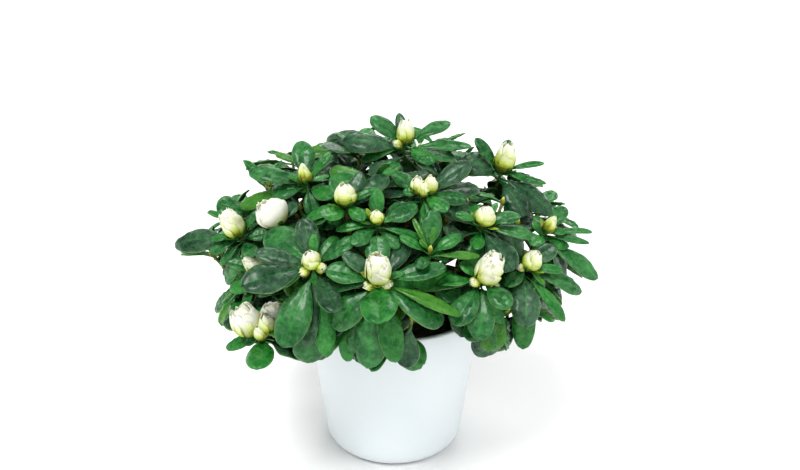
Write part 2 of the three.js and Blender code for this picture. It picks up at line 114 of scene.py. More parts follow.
CRUMB_NARROWEST = 0.6
CRUMB_FLAT = 0.8
FIBRE_LENGTH = (4, 10)
FIBRE_RADIUS = 0.28
FIBRE_POINTS = (-0.5, -0.2, 0.15, 0.5)  # shares of the length
FIBRE_LIFT = 0.7
FIBRE_EDGE = 1.5
FIBRE_STEPS = 3
FIBRE_SIDES = 5
SEAT_GAP = 0.3

# Main stem and boughs
STEM_HEIGHT = 36
STEM_RADIUS = 6.2
STEM_TIP_RADIUS = 3.4
FLARE_RADIUS = 10.5
FLARE_HEIGHT = 9
STEM_LEAN = (-3, 2)
STEM_SUNK = 1.2
STEM_SIDES = 40
STEM_RINGS = 54
STEM_BARK = {"depth": 0.6, "ridges": 2.2}
BARK_RIDGE = {"rate": 0.09, "share": 1.6}  # change in a millimetre along the wood, share of the depth
BARK_KNOT = {"rate": 0.4, "share": 0.6}
BARK_SEEDS = {"stem": 1, "boughs": 5}
BOUGH_RADIUS = 2.9
BOUGH_TIP_RADIUS = 2.1
BOUGH_SIDES = 16
BOUGH_RINGS = 44
BOUGH_BARK = {"depth": 0.28, "ridges": 1.4}
BOUGH_REACH = 0.46
BOUGH_SAG = 5
BOUGH_SWING = {"low": 4, "high": 9}
HIGH_RISE = 20

# Crown
CROWN_MIDDLE = np.array([-5.0, 0.0, 166.0])
TIP_REACH = {"x": 130, "y": 123, "up": 82, "down": 46}
CROWN_REACH = {"x": 161, "y": 152, "up": 104, "down": 70}

# Twigs
SHOOT_END_CUT = 15  # at most as much of a shoot without leaves is left out
COLLAR_LENGTH = 4
HUB_SHARE = 0.22
TWIG_KNOTS = (0.4, 0.75)
TWIG_SAG = 0.09
DETOUR_COST = 0.3
TWIG_RADII = {"outer": (1.5, 1.1), "inner": (1.0, 0.7)}
STEM_END_RADIUS = 1.7
STEM_END_STEPS = 6
TWIG_SIDES = 8
TWIG_STEPS = 5  # rings between two of a twig's points
TWIG_SWELL = 0.12
TWIG_EVEN_FROM = 0.98  # share of the length
GREEN_ROW = 3 * TWIG_STEPS - 2  # from here on a twig is green, just below the foot of its shoot

# Shoots
FILL_SHOOTS = 73
LOWEST_RISE = -27
SHOOT_APART = 15.5
SHOOT_WOBBLE = 3
SHOOT_SHARE = (0.93, 1.1)
SHOOT_LENGTH = 23
SHOOT_OUTWARD = 0.72
SHOOT_UPWARD = 0.85
FRONT_BARE_TO = 0.5
TOP_BARE_FROM = 0.7
MOST_SIDE_BUDS = 2.4
INNER_SHOOTS = 84  # short side shoots inside the crown, with leaves only
INNER_SHARE = (0.66, 0.86)
INNER_LOWEST_RISE = -12
INNER_LENGTH = 17
INNER_NUMBER = 400  # where the numbers of the side shoots start

# Leaves. Where two values stand, the first is for a shoot's top leaf and the second for its lowest.
LEAVES = {"outer": 11, "inner": 7}
GOLDEN_ANGLE = 137.508
LEAF_LENGTH = 45
LEAF_GROWTH = {"least": 0.44, "most": 1.02, "from": 0.03, "to": 0.66}
LEAF_WIDTH_SHARE = (0.4, 0.6)
LEAF_WIDEST = 0.62
LEAF_ROUNDING = (0.95, 0.38)  # at the leaf's root, at its tip
LEAF_SEAT = (0.5, 15)
LEAF_OPEN = (60, 96)
TUFT_OPEN = 40
LEAF_OPENING = 0.8
LEAF_HANG = (0.1, 0.34)
LEAF_FACES_UP = 0.35
WOBBLE = {"open": 9, "roll": 14, "bend": 12, "length": 0.13, "width": 0.12, "wave": 0.07}
GROWN_HABIT = {"bend": (16, 46), "fold": (0.34, -0.06), "askew": 0.16, "twist": 16, "sickle": 0.05,
               "wave": 0.07, "quilt": (0.2, 1.0)}
SHOWN_HABIT = {"bend": (20, 44), "fold": (0.2, -0.05), "askew": 0.12, "twist": 10, "sickle": 0.0,
               "wave": 0.06, "quilt": (0.15, 1.1)}
QUILT_LUCK = (0.7, 0.6)  # least share, and the most that luck adds
PETIOLE = 0.09  # share of the length
PETIOLE_HALF = 0.55
PETIOLE_THINNING = 0.25
PETIOLE_ROWS = [0.025, 0.06]  # shares of the leaf's length
LEAF_THICKNESS = 0.45
RIB_THICKER = 0.9
TIP_THINNING = 6  # how fast a leaf thickens from its tip
TIP_THINNEST = 0.2
TIP_POINT = 0.7  # how far its last corner stands out
LEAF_SWELL = 0.5
EDGE_DROP = 0.22
RIB_GROOVE = {"depth": 0.28, "width": 0.9}
RELIEF_GROWS = 6  # how fast the relief grows from the blade's root
RELIEF_FADES = 5  # and fades to its tip
LEAF_VEINS = 5.5
VEIN_SLANT = 0.3
EDGE_WAVES = 8.2
EDGE_WAVE_SHIFT = 2.1
LEAF_ROWS = {"outer": 22, "inner": 12, "bract": 8}
LEAF_COLUMNS = np.array([-1, -0.94, -0.7, -0.38, -0.05, 0.05, 0.38, 0.7, 0.94, 1])
UNDER_COLUMNS = np.array([-0.5, 0, 0.5])
RIB_LENGTH = 0.86
CLEARANCE = 0.5
MOST_HIDDEN = 0.08  # share of a leaf's room that may cover what shows

# Shoots that show from the front: degrees round from the front towards +X, degrees up from the
# crown's middle, share of the reach, where the tip shows in the picture, the flower there, its size
# and how many side buds it has.
SHOWN_SHOOTS = [
    (48, 80, 1.0, (405, 142), "half", 0.82, 1),
    (92, 47, 1.0, (502, 170), "half", 1.02, 0),
    (19, 52, 1.0, (423, 192), "triple", 0.88, 0),
    (-17, 48, 1.0, (346, 203), "plump", 1.05, 0),
    (-48, 54, 1.0, (306, 181), "pointed", 0.98, 0),
    (-62, 22, 1.0, (239, 235), "frilled", 0.98, 0),
    (-46, 35, 0.97, (281, 222), "round", 0.88, 0),
    (-3, 38, 0.97, (377, 221), "small", 1.0, 0),
    (38, 34, 1.0, (483, 223), "plump", 1.0, 0),
    (72, 18, 1.0, (546, 231), "pointed", 1.0, 0),
    (50, 9, 1.0, (528, 266), "plump", 1.0, 1),
    (-23, 19, 1.0, (313, 265), "plump", 0.9, 2),
    (-2, 15, 1.0, (379, 280), "frilled", 1.05, 3),
    (30, 11, 1.0, (484, 279), "frilled", 1.12, 2),
    (-40, -25, 1.16, (262, 330), "double", 1.15, 0),
    (-51, 6, 0.93, (259, 270), "half", 0.8, 0),
    (16, 29, 1.0, (430, 250), "none", 1.0, 0),
    (-128, 77, 0.97, None, "none", 1.0, 0),
]

# Their leaves that show, from a shoot's tip down: where the leaf's tip shows in the picture, how wide
# it looks there, in pixels, and its tone by first letter.
SHOWN_LEAVES = [
    [(420, 132, 7, "f"), (450, 122, 15, "m"), (371, 117, 17, "m"), (434, 163, 17, "f"), (361, 161, 11, "f"),
     (471, 146, 12, "m"), (342, 141, 24, "d"), (399, 113, 12, "d")],
    [(526, 180, 8, "f"), (544, 163, 8, "f"), (509, 140, 15, "m"), (546, 183, 9, "m"), (491, 171, 8, "f"),
     (476, 138, 13, "m"), (552, 213, 24, "d"), (524, 217, 24, "d"), (463, 158, 26, "d")],
    [(403, 191, 10, "f"), (447, 211, 17, "f"), (466, 199, 17, "m"), (470, 162, 20, "d"), (393, 172, 16, "m"),
     (386, 219, 20, "m"), (479, 188, 22, "d")],
    [(364, 220, 15, "f"), (376, 189, 9, "f"), (331, 180, 12, "m"), (361, 172, 16, "d"), (322, 216, 22, "f"),
     (388, 176, 20, "d")],
    [(329, 176, 6, "f"), (289, 174, 6, "f"), (330, 152, 10, "f"), (302, 141, 24, "m"), (249, 171, 18, "m"),
     (272, 195, 17, "m"), (334, 197, 17, "f"), (239, 207, 16, "y")],
    [(211, 239, 8, "f"), (259, 209, 9, "m"), (225, 196, 26, "m"), (210, 252, 11, "m"), (268, 233, 12, "m"),
     (175, 243, 23, "d"), (220, 265, 9, "m"), (255, 256, 17, "m"), (246, 281, 18, "f")],
    [(296, 202, 14, "d"), (300, 225, 16, "m")],
    [(393, 219, 6, "f"), (377, 189, 15, "f"), (417, 205, 20, "m"), (336, 230, 9, "f"), (420, 238, 8, "f"),
     (352, 244, 17, "m"), (399, 248, 14, "m")],
    [(455, 214, 9, "f"), (520, 216, 14, "m"), (497, 203, 8, "f"), (533, 236, 14, "m"), (513, 270, 30, "d"),
     (438, 196, 24, "d"), (476, 249, 15, "f")],
    [(566, 232, 7, "f"), (565, 207, 17, "m"), (592, 232, 7, "m"), (533, 246, 15, "f"), (589, 243, 7, "m"),
     (569, 246, 13, "f"), (533, 221, 7, "f"), (598, 278, 20, "m")],
    [(544, 284, 7, "y"), (562, 271, 11, "f"), (506, 286, 16, "m"), (554, 246, 20, "d"), (582, 291, 18, "m"),
     (526, 327, 30, "d"), (523, 349, 24, "f"), (565, 321, 13, "f")],
    [(315, 286, 7, "f"), (314, 234, 10, "f"), (275, 284, 17, "f"), (356, 238, 17, "m"), (268, 231, 35, "m"),
     (256, 253, 18, "d"), (242, 286, 30, "d"), (283, 347, 35, "m"), (307, 347, 20, "d"), (303, 218, 24, "d"),
     (327, 357, 24, "f"), (336, 312, 24, "d")],
    [(404, 273, 7, "f"), (379, 323, 37, "f"), (377, 236, 26, "m"), (343, 253, 15, "d"), (326, 270, 20, "m"),
     (446, 267, 18, "m"), (326, 289, 11, "m"), (443, 323, 33, "m"), (461, 315, 13, "y"), (410, 239, 20, "d"),
     (333, 328, 28, "m"), (367, 368, 36, "m"), (396, 362, 26, "f"), (350, 352, 18, "m")],
    [(498, 289, 8, "m"), (509, 308, 22, "m"), (460, 262, 12, "f"), (454, 325, 26, "m"), (480, 340, 28, "m"),
     (505, 262, 14, "d"), (496, 349, 7, "m"), (502, 323, 16, "f")],
    [(246, 345, 9, "f"), (226, 347, 14, "f"), (257, 369, 28, "f")],
    [(228, 262, 12, "m"), (280, 286, 20, "d"), (230, 290, 16, "f")],
    [(434, 227, 6, "y"), (420, 240, 6, "y"), (413, 218, 7, "y"), (434, 210, 20, "m"), (400, 236, 10, "f"),
     (461, 235, 13, "f"), (480, 256, 8, "y"), (418, 268, 14, "m"), (448, 256, 14, "f")],
]
TONE_LETTERS = {"d": "deep", "m": "middle", "f": "fresh", "y": "young"}
STALK_TURN = 0.9  # how far the stalks of these shoots come from behind
FLOWER_LEANS = {"double": (-0.16, -0.12, 0.98), "round": (-0.66, 0.0, 0.75)}
SHOWN_SEAT = (0.3, 8)  # millimetres below the shoot's tip, of its top and its lowest leaf
SHOWN_PROPORTION = 0.47  # width of such a leaf over its length
SHOWN_NUDGES = (0, 0.12, -0.12, 0.25, -0.25, 0.4, -0.4, 0.6, -0.6)
SHOWN_BACKWARD = -0.7  # for leaves that point up in the picture
SHOWN_FACES_FRONT = 0.45
QUILTED_WIDTH = 20
LEAST_IN_VIEW = 0.2  # the square of the least share of a leaf's width that is taken to show
CELL = 4  # pixels
FILL_FLOWERS = ("none", "plump", "none", "pointed", "half", "none", "small", "none", "plump")

# Masses of foliage: name, degrees round, degrees up, and where on the main stem its bough starts.
MASSES = [
    ("top", 0, 90, STEM_HEIGHT),
    ("upper_front", 0, 46, 27),
    ("upper_right", 90, 46, 31),
    ("upper_back", 180, 46, 27),
    ("upper_left", -90, 46, 31),
    ("lower_front_left", -26, 3, 7),
    ("lower_front_right", 26, 3, 14),
    ("lower_right", 77, 3, 7),
    ("lower_back_right", 129, 3, 14),
    ("lower_back", 180, 3, 7),
    ("lower_back_left", -129, 3, 14),
    ("lower_left", -77, 3, 20.5),
]

# Flowers: height and radius in millimetres, height share of the widest place, how green it is, the
# radius and height shares of the closed heart, and the layers of petals from the outside in: petals,
# half their spread in degrees, radius share, height share, radius share at the top, how far the edge
# curls out, and how deep it is ruffled.
FLOWERS = {
    "tip": (6, 1.5, 0.3, 5, (0.7, 0.9), [(4, 60, 1.0, 1.0, 0.0, 0, 0)]),
    "side": (9, 2.9, 0.4, 3.2, (0.8, 0.95), [(3, 80, 1.0, 0.9, 0.4, 0, 0), (3, 66, 0.9, 1.0, 0.1, 0, 0)]),
    "small": (10, 4.2, 0.42, 2.8, (0.8, 0.95), [(3, 84, 1.0, 0.9, 0.35, 0, 0), (3, 66, 0.9, 1.0, 0.1, 0, 0)]),
    "pointed": (15.5, 4.0, 0.38, 3.2, (0.8, 0.97), [
        (3, 78, 1.0, 0.8, 0.45, 0, 0), (3, 70, 0.9, 1.0, 0.08, 0, 0.01),
    ]),
    "plump": (15.5, 6.6, 0.48, 2.3, (0.76, 0.93), [
        (3, 74, 1.0, 0.82, 0.62, 0.0, 0.015), (3, 72, 0.91, 0.95, 0.42, 0, 0.025),
        (3, 62, 0.8, 1.0, 0.24, 0.03, 0.03),
    ]),
    "half": (21.5, 7.5, 0.46, 1.9, (0.85, 1.0), [
        (3, 62, 1.0, 0.8, 0.72, 0.0, 0.03), (4, 50, 0.96, 0.92, 0.6, 0.03, 0.06),
        (4, 46, 0.91, 1.02, 0.46, 0.05, 0.09),
    ]),
    "frilled": (21.5, 7.4, 0.58, 1.8, (0.92, 1.06), [
        (3, 62, 1.0, 0.78, 0.86, 0.0, 0.04), (4, 50, 0.97, 0.92, 0.78, 0.03, 0.08),
        (4, 46, 0.93, 1.0, 0.7, 0.04, 0.12), (4, 44, 0.78, 1.02, 0.62, 0.05, 0.15),
    ]),
    "round": (22, 12.5, 0.6, -2.4, (0.86, 0.97), [
        (3, 74, 1.0, 0.96, 0.6, 0.0, 0.03), (4, 54, 0.95, 0.98, 0.52, 0.03, 0.07),
        (4, 46, 0.9, 1.02, 0.42, 0.04, 0.1),
    ]),
    "cup": (18.5, 8.3, 0.54, 0.5, (0.88, 0.98), [
        (3, 72, 1.0, 0.92, 0.74, 0.0, 0.03), (4, 52, 0.96, 0.96, 0.66, 0.03, 0.05),
        (4, 46, 0.91, 1.0, 0.54, 0.04, 0.08),
    ]),
    "lobe": (15, 4.7, 0.5, 2.3, (0.78, 0.93), [
        (3, 80, 1.0, 0.88, 0.55, 0.0, 0.02), (3, 70, 0.88, 1.0, 0.3, 0.03, 0.04),
    ]),
}

# Flowers of several lobes on one foot: the room they take, as the height, radius and widest place of
# one flower, and each lobe's kind, size, foot and lean.
CLUSTERS = {
    "triple": ((21.5, 7.5, 0.46), [
        ("lobe", 1.0, (-4.9, 0, 0), (-0.035, 0, 0)), ("lobe", 1.05, (4.9, 0, 0), (0.035, 0, 0)),
        ("lobe", 0.85, (0, -3.2, -1.3), (0, 0, 0)),
    ]),
    "double": ((18.5, 15, 0.5), [
        ("cup", 1.04, (-6.8, -1.5, -1), (-0.08, -0.05, 0)), ("cup", 0.86, (6, 4, 0), (0.12, 0.05, 0)),
        ("lobe", 1.0, (4.6, -5, 0.8), (0.1, -0.1, 0)), ("lobe", 0.74, (0.8, -7.5, -1.6), (0, -0.2, 0)),
    ]),
}
LEAFY_ENDS = ("none", "bare")  # shoots that end in leaves
FLOWER_SEAT = 1.5
ROUGH_BLOOM = {"foot": 0.5, "top": 0.55, "from": 0.06, "rings": 7, "sides": 8}
SMALL_BLOOM = 3.8  # radius below which a bud has the coarse petals and heart
PETAL_ROWS = {"fine": 16, "coarse": 8}
PETAL_COLUMNS = {
    "fine": np.array([-1, -0.93, -0.72, -0.48, -0.24, 0, 0.24, 0.48, 0.72, 0.93, 1]),
    "coarse": np.array([-1, -0.9, -0.5, 0, 0.5, 0.9, 1]),
}
PETAL_CROWDING = 0.85  # below 1, the rows are closer towards the edge
PETAL_THICKNESS = 0.35
PETAL_SINK = 0.25  # how far its inner face sinks, as a share of the thickness
PETAL_OVERLAP = 0.6
OVERLAP_GROWS = 4  # how fast, from the foot
OVERLAP_RADIUS = 4  # radius of the flowers from which it is full
PETAL_FOOT = {"width": 0.6, "height": 0.3}  # shares
PETAL_TIP_ROUND = 0.5
PETAL_SIDE_DROP = 0.2
PETAL_WAVES = 2.5  # or up to one more
TEETH = {"depth": 0.5, "waves": 2.7}  # shares of the ruffle's
PETAL_BASE = 0.4  # radius share at the foot
PETAL_EDGE = 0.62  # height share where a petal's edge starts
PETAL_LUCK = {"turn": 0.2, "wrap": 0.08, "radius": 0.05, "height": 0.1}
TONE_STEPS = 8.4  # tones of a petal from its foot to its edge
TONE_SHAKE = {"height": 0.04, "waves": 4}
# A petal's tone steps greener and darker towards its sides, low down: painted shade in the seams where petals
# overlap.
SEAM_SHADE = 1.5
SEAM_SHADE_ENDS = 1.3  # height share, from which it is full for one share down
INNER_GREEN = 0.3
HEART_RINGS = {"fine": 12, "coarse": 6}
HEART_SIDES = {"fine": 36, "coarse": 12}
HEART_FROM = 0.1  # height share
HEART_HIGHER = 0.05  # how much higher its widest place is than the flower's
HEART_NARROWEST = 0.05  # square of the radius share
HEART_RIDGES = ((7, 5, 0.13), (4, -4, 0.08))  # how many, their twist and depth
HEART_LIFT = {"depth": 0.07, "waves": 3, "grows": 3, "below": 1.6}  # waves of its top
SIDE_BUD_WAYS = (-1.0, 1.0, 0.5)  # towards +X, of the side buds that show
SIDE_BUD_SIZE = (0.85, 1.15)
SIDE_BUD_TURN = 2.4
SIDE_BUD_RISE = (0.55, 0.3)  # of the first, and how much more of each next one
SIDE_BUD_OUT = 3.5
BRACTS = {"half": 6, "frilled": 6, "double": 6}
FEW_BRACTS = 4
BRACT_LENGTH = (9, 14)
BRACT_FORM = {"bend": math.radians(-26), "fold": 0.4, "twist": 0.0, "sickle": 0.0, "wave": 0.0,
              "phase": 0.0, "quilt": 0.0}
BRACT_PROPORTION = 0.38
BRACT_LUCK = 0.3
BRACT_RISE = (0.15, 0.6)
BRACT_SEAT = 0.5

# Directions that no stem, shoot or flower has. The first side of each lies across them.
ASIDE = {"tube": (0.37, 0.61, 0.2), "leaf": (0.3, 0.2, 1), "flower": (0.4, 1.0, 0.3)}
UP = np.array([0.0, 0.0, 1.0])
WORD = 0xFFFFFFFF


# Sums
def mix(a, b, share):
    return (1 - share) * a + share * b


def unit(v):
    return v / np.linalg.norm(v)


def turned(v, other, angle):
    """v turned towards another direction, which is square to it."""
    return v * math.cos(angle) + other * math.sin(angle)


def spun(v, axis, angle):
    """v turned about a unit axis."""
    c = math.cos(angle)
    return v * c + np.cross(axis, v) * math.sin(angle) + axis * (axis @ v) * (1 - c)


def chance(shoot, leaf, use):
    """A number from 0 to 1 that depends only on what it is for, as the solids have it. Each kind of
    draw has a number of its own, `use`, and either and phase share these numbers."""
    h = (shoot + 1) * 0x9E3779B1 & WORD
    h ^= (leaf + 1) * 0x85EBCA77 & WORD
    h ^= (use + 1) * 0xC2B2AE3D & WORD
    h = (h ^ h >> 15) * 0x2C1B3C6D & WORD
    h = (h ^ h >> 12) * 0x297A2D39 & WORD
    h ^= h >> 15
    return h / 2**32


def either(shoot, leaf, use):
    """A chance from -1 to 1."""
    return 2 * chance(shoot, leaf, use) - 1


def phase(shoot, leaf, use):
    """A chance as an angle, from nothing to a whole turn."""
    return 6.28 * chance(shoot, leaf, use)


def direction(azimuth, rise):
    a, r = math.radians(azimuth), math.radians(rise)
    return np.array([math.sin(a) * math.cos(r), -math.cos(a) * math.cos(r), math.sin(r)])


def square_to(v, axis):
    """What is left of v across an axis, one unit long."""
    return unit(v - axis * (v @ axis))


def bulge(share, widest):
    """A swelling along a length, from nothing to nothing, that is full at one share of it."""
    return np.sin(np.pi * share ** (math.log(0.5) / math.log(widest)))


def reach_along(way, reach):
    return np.array([reach["x"], reach["y"], reach["up"] if way[2] > 0 else reach["down"]])


CAMERA_BACK = direction(0, CAMERA_ELEVATION)
CAMERA_UP = np.array([0, CAMERA_BACK[2], -CAMERA_BACK[1]])
CAMERA_PLACE = CAMERA_TARGET + CAMERA_DISTANCE * CAMERA_BACK


def picture_place(points):
    """Where points show in the picture, in its pixels, and how far from the camera they are."""
    offset = points - CAMERA_PLACE
    depth = -offset @ CAMERA_BACK
    across = PICTURE_WIDTH / 2 + FOCAL_PIXELS * offset[..., 0] / depth
    return across, PICTURE_HEIGHT / 2 - FOCAL_PIXELS * (offset @ CAMERA_UP) / depth, depth


def seen_at(across, down, depth):
    """The point that shows at a place of the picture, so far from the camera."""
    sideways = np.array([(across - PICTURE_WIDTH / 2) * depth / FOCAL_PIXELS, 0, 0])
    upward = (PICTURE_HEIGHT / 2 - down) * depth / FOCAL_PIXELS * CAMERA_UP
    return CAMERA_PLACE - depth * CAMERA_BACK + sideways + upward


def in_an_open_place(points):
    across, down, _ = picture_place(points)
    return any(
        np.any(((across - x) / half_wide) ** 2 + ((down - y) / half_high) ** 2 < 1)
        for x, y, half_wide, half_high in OPEN_PLACES.values()
    )


def inside_crown(point):
    p = point - CROWN_MIDDLE
    return np.linalg.norm(p / reach_along(p, CROWN_REACH)) < 1


# Meshes
class Piece:
    """Gathers the corners, faces and finishes of one piece, and makes its mesh."""

    def __init__(self, name):
        self.name = name
        self.count = 0
        self.points = []
        self.faces = {n: [np.zeros((0, n), int)] for n in (3, 4)}
        self.finishes = {n: [np.zeros(0, int)] for n in (3, 4)}

    def add(self, points, faces, finishes):
        """faces and finishes: for 3 and 4 corners, the corners of each face and its finish."""
        for corners, found in faces.items():
            self.faces[corners].append(found + self.count)
            self.finishes[corners].append(np.broadcast_to(finishes[corners], len(found)))
        self.points.append(points)
        self.count += len(points)

    def make(self, materials, slot, *replaced):
        loops = np.concatenate([np.concatenate(self.faces[n]).ravel() for n in (3, 4)])
        finishes = np.concatenate([*self.finishes[3], *self.finishes[4]])
        sizes = np.repeat((3, 4), [sum(map(len, self.faces[n])) for n in (3, 4)])
        mesh = bpy.data.meshes.new(self.name)
        mesh.vertices.add(self.count)
        mesh.loops.add(len(loops))
        mesh.polygons.add(len(sizes))
        for elements, label, values, kind in (
            (mesh.vertices, "co", np.concatenate(self.points).ravel() * MM, np.float32),
            (mesh.loops, "vertex_index", loops, np.int32),
            (mesh.polygons, "loop_start", np.cumsum(sizes) - sizes, np.int32),
            (mesh.polygons, "material_index", finishes, np.int32),
            (mesh.polygons, "use_smooth", np.ones(len(sizes)), bool),
        ):
            elements.foreach_set(label, values.astype(kind))
        for material in materials:
            mesh.materials.append(material)
        mesh.update(calc_edges=True)
        mesh.validate()
        made = bpy.data.objects.new(self.name, mesh)
        bpy.context.scene.collection.objects.link(made)
        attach(made, "root")
        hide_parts(*replaced)


def sheet_quads(sheet):
    """The quads between the rows of a sheet of corners."""
    return np.stack([sheet[:-1, :-1], sheet[:-1, 1:], sheet[1:, 1:], sheet[1:, :-1]], -1).reshape(-1, 4)


def closed_body(rings, ends):
    """Corners and faces of a body of rings of corners, with a point at each end."""
    sides = len(rings[0])
    sheet = np.arange(len(rings) * sides).reshape(len(rings), sides)
    around = np.roll(sheet, -1, 1)
    first = np.full(sides, sheet.size)
    faces = {
        3: np.concatenate([
            np.stack([around[0], sheet[0], first], 1),
            np.stack([sheet[-1], around[-1], first + 1], 1),
        ]),
        4: sheet_quads(np.concatenate([sheet, sheet[:, :1]], 1)),
    }
    return np.concatenate([*rings, ends]), faces


def lathe(profile, sides):
    """A turned body, from pairs of radius and height that start and end on the axis."""
    turn = 2 * np.pi * np.arange(sides) / sides
    rings = [np.stack([r * np.cos(turn), r * np.sin(turn), np.full(sides, z)], 1) for r, z in profile[1:-1]]
    return closed_body(rings, np.array([[0, 0, profile[0][1]], [0, 0, profile[-1][1]]], float))


def smooth_path(points, steps):
    """Points along a curve through the given ones."""
    ends = [2 * points[0] - points[1], *points, 2 * points[-1] - points[-2]]
    found = []
    for a, b, c, d in zip(ends, ends[1:], ends[2:], ends[3:]):
        for t in np.arange(steps) / steps:
            found.append(0.5 * (
                2 * b + (c - a) * t + (2 * a - 5 * b + 4 * c - d) * t**2 + (3 * b - a - 3 * c + d) * t**3
            ))
    return np.array([*found, points[-1]])


def tube(path, radii, sides, relief=None):
    """A closed tube along a path. relief(along, turn) gives how far its skin stands out."""
    path = np.asarray(path, float)
    before = np.concatenate([path[:1], path[:-1]])
    after = np.concatenate([path[1:], path[-1:]])
    across = np.array(ASIDE["tube"])
    turn = 2 * np.pi * np.arange(sides) / sides
    rings = []
    length = 0.0
    for i, point in enumerate(path):
        ahead = unit(after[i] - before[i])
        across = unit(across - ahead * (across @ ahead))
        other = np.cross(ahead, across)
        length += np.linalg.norm(point - before[i])
        radius = np.full(sides, float(radii[i]))
        if relief:
            radius += [relief(length, t) for t in turn]
        rings.append(point + np.outer(radius * np.cos(turn), across) + np.outer(radius * np.sin(turn), other))
    return closed_body(rings, path[[0, -1]])


def tree_of(points, faces):
    """A search tree of a rough shape, with its box."""
    polygons = [list(map(int, face)) for group in faces.values() for face in group]
    return BVHTree.FromPolygons([tuple(p) for p in points], polygons), points.min(0), points.max(0)


class Space:
    """What already grows there, to keep clear of."""

    def __init__(self):
        self.trees = []
        self.owners = []
        self.low = np.zeros((0, 3))
        self.high = np.zeros((0, 3))

    def keep(self, owner, points, faces):
        tree, low, high = tree_of(points, faces)
        self.trees.append(tree)
        self.owners.append(owner)
        self.low = np.vstack([self.low, low])
        self.high = np.vstack([self.high, high])

    def meets(self, points, faces, but):
        tree, low, high = tree_of(points, faces)
        near = np.flatnonzero(((self.low <= high) & (self.high >= low)).all(1))
        return any(self.owners[i] != but and self.trees[i].overlap(tree) for i in near)


class Front:
    """What must stay in sight from the front: how far it is, in small cells of the picture."""

    def __init__(self):
        self.depth = np.zeros((PICTURE_HEIGHT // CELL + 1, PICTURE_WIDTH // CELL + 1))

    def cells(self, points):
        across, down, depth = picture_place(points)
        row, column = (
            np.clip(place / CELL, 0, size - 1).astype(int)
            for place, size in zip((down, across), self.depth.shape)
        )
        return row, column, depth

    def keep(self, points):
        row, column, depth = self.cells(points)
        self.depth[row, column] = np.maximum(self.depth[row, column], depth)

    def share_hidden(self, points):
        row, column, depth = self.cells(points)
        return (depth < self.depth[row, column] - 1).mean()


# Finishes
SKIN_OUTPUTS = ("Color", "Roughness", "Height")


def full_value(value):
    """A number as it is, and a colour with the fourth value that its socket takes."""
    return (*value, 1) if isinstance(value, tuple) else value


class Wiring:
    """Adds nodes to a tree and joins them up."""

    def __init__(self, tree):
        self.tree = tree

    def node(self, kind, feeds, **settings):
        made = self.tree.nodes.new(kind)
        for name, value in settings.items():
            setattr(made, name, value)
        for name, value in feeds.items():
            if isinstance(value, bpy.types.NodeSocket):
                self.tree.links.new(value, made.inputs[name])
            else:
                made.inputs[name].default_value = value
        return made

    def maths(self, operation, first, second):
        return self.node("ShaderNodeMath", {0: first, 1: second}, operation=operation).outputs[0]

    def blend(self, share, first, second):
        """Between two colours, which are the Mix node's inputs 6 and 7 and its output 2."""
        return self.node("ShaderNodeMix", {0: share, 6: first, 7: second}, data_type="RGBA").outputs[2]

    def span(self, value, low, high, to_low=0.0, to_high=1.0):
        feeds = {"Value": value, "From Min": low, "From Max": high, "To Min": to_low, "To Max": to_high}
        return self.node("ShaderNodeMapRange", feeds).outputs["Result"]

    def noise(self, place, scale, detail):
        feeds = {"Vector": place, "Scale": scale, "Detail": detail}
        return self.node("ShaderNodeTexNoise", feeds).outputs["Fac"]


def skin_group(name, inputs, build):
    """A node group that puts out what build(wiring, given, place) makes of its inputs and the place."""
    tree = bpy.data.node_groups.new(name, "ShaderNodeTree")
    for label, value in inputs.items():
        kind = "NodeSocketColor" if isinstance(value, tuple) else "NodeSocketFloat"
        socket = tree.interface.new_socket(name=label, in_out="INPUT", socket_type=kind)
        socket.default_value = full_value(value)
    for label in SKIN_OUTPUTS:
        kind = "NodeSocketColor" if label == "Color" else "NodeSocketFloat"
        tree.interface.new_socket(name=label, in_out="OUTPUT", socket_type=kind)
    wiring = Wiring(tree)
    given = wiring.node("NodeGroupInput", {}).outputs
    place = wiring.node("ShaderNodeTexCoord", {}).outputs["Object"]
    wiring.node("NodeGroupOutput", dict(zip(SKIN_OUTPUTS, build(wiring, given, place))))
    return tree


def leathery(wiring, given, place):
    """Soft clouds of painted sheen over a green, more painted sheen on the raised cells of the quilted
    relief, darker stains, and that quilted relief with pores.
    """
    quilt = wiring.noise(place, 240.0, 2.0)
    # The cloud noise and the raised cells of the quilt lay a painted sheen, a lighter greyish green where the
    # leaf would shine.
    cloud = wiring.span(wiring.noise(place, 75.0, 2.0), 0.36, 0.66, 0.0, 0.55)
    light = wiring.maths("ADD", cloud, wiring.span(quilt, 0.4, 0.66, 0.0, 0.35))
    colour = wiring.blend(light, given["Green"], given["Cloud"])
    stain = wiring.span(wiring.noise(place, 150.0, 3.0), 0.5, 0.78)
    stained = wiring.blend(wiring.maths("MULTIPLY", stain, given["Stain share"]), colour, given["Stain"])
    pores = wiring.noise(place, 2400.0, 2.0)
    height = wiring.maths("ADD", quilt, wiring.maths("MULTIPLY", pores, 0.12))
    return stained, wiring.maths("ADD", given["Roughness"], wiring.span(quilt, 0.3, 0.7, -0.07, 0.09)), height


def grainy(wiring, given, place):
    """Light and dark grain, longer upright than across where stretched."""
    apart = wiring.node("ShaderNodeSeparateXYZ", {"Vector": place}).outputs
    upright = wiring.maths("DIVIDE", apart["Z"], given["Stretch"])
    long = wiring.node("ShaderNodeCombineXYZ", {"X": apart["X"], "Y": apart["Y"], "Z": upright}).outputs[0]
    fine = wiring.noise(long, wiring.maths("MULTIPLY", given["Scale"], 5.0), 2.0)
    both = wiring.maths("ADD", wiring.noise(long, given["Scale"], 4.0), wiring.maths("MULTIPLY", fine, 0.35))
    colour = wiring.blend(wiring.span(both, 0.5, 0.85), given["Dark"], given["Light"])
    return colour, wiring.span(both, 0.4, 0.9, 0.92, 0.72), both


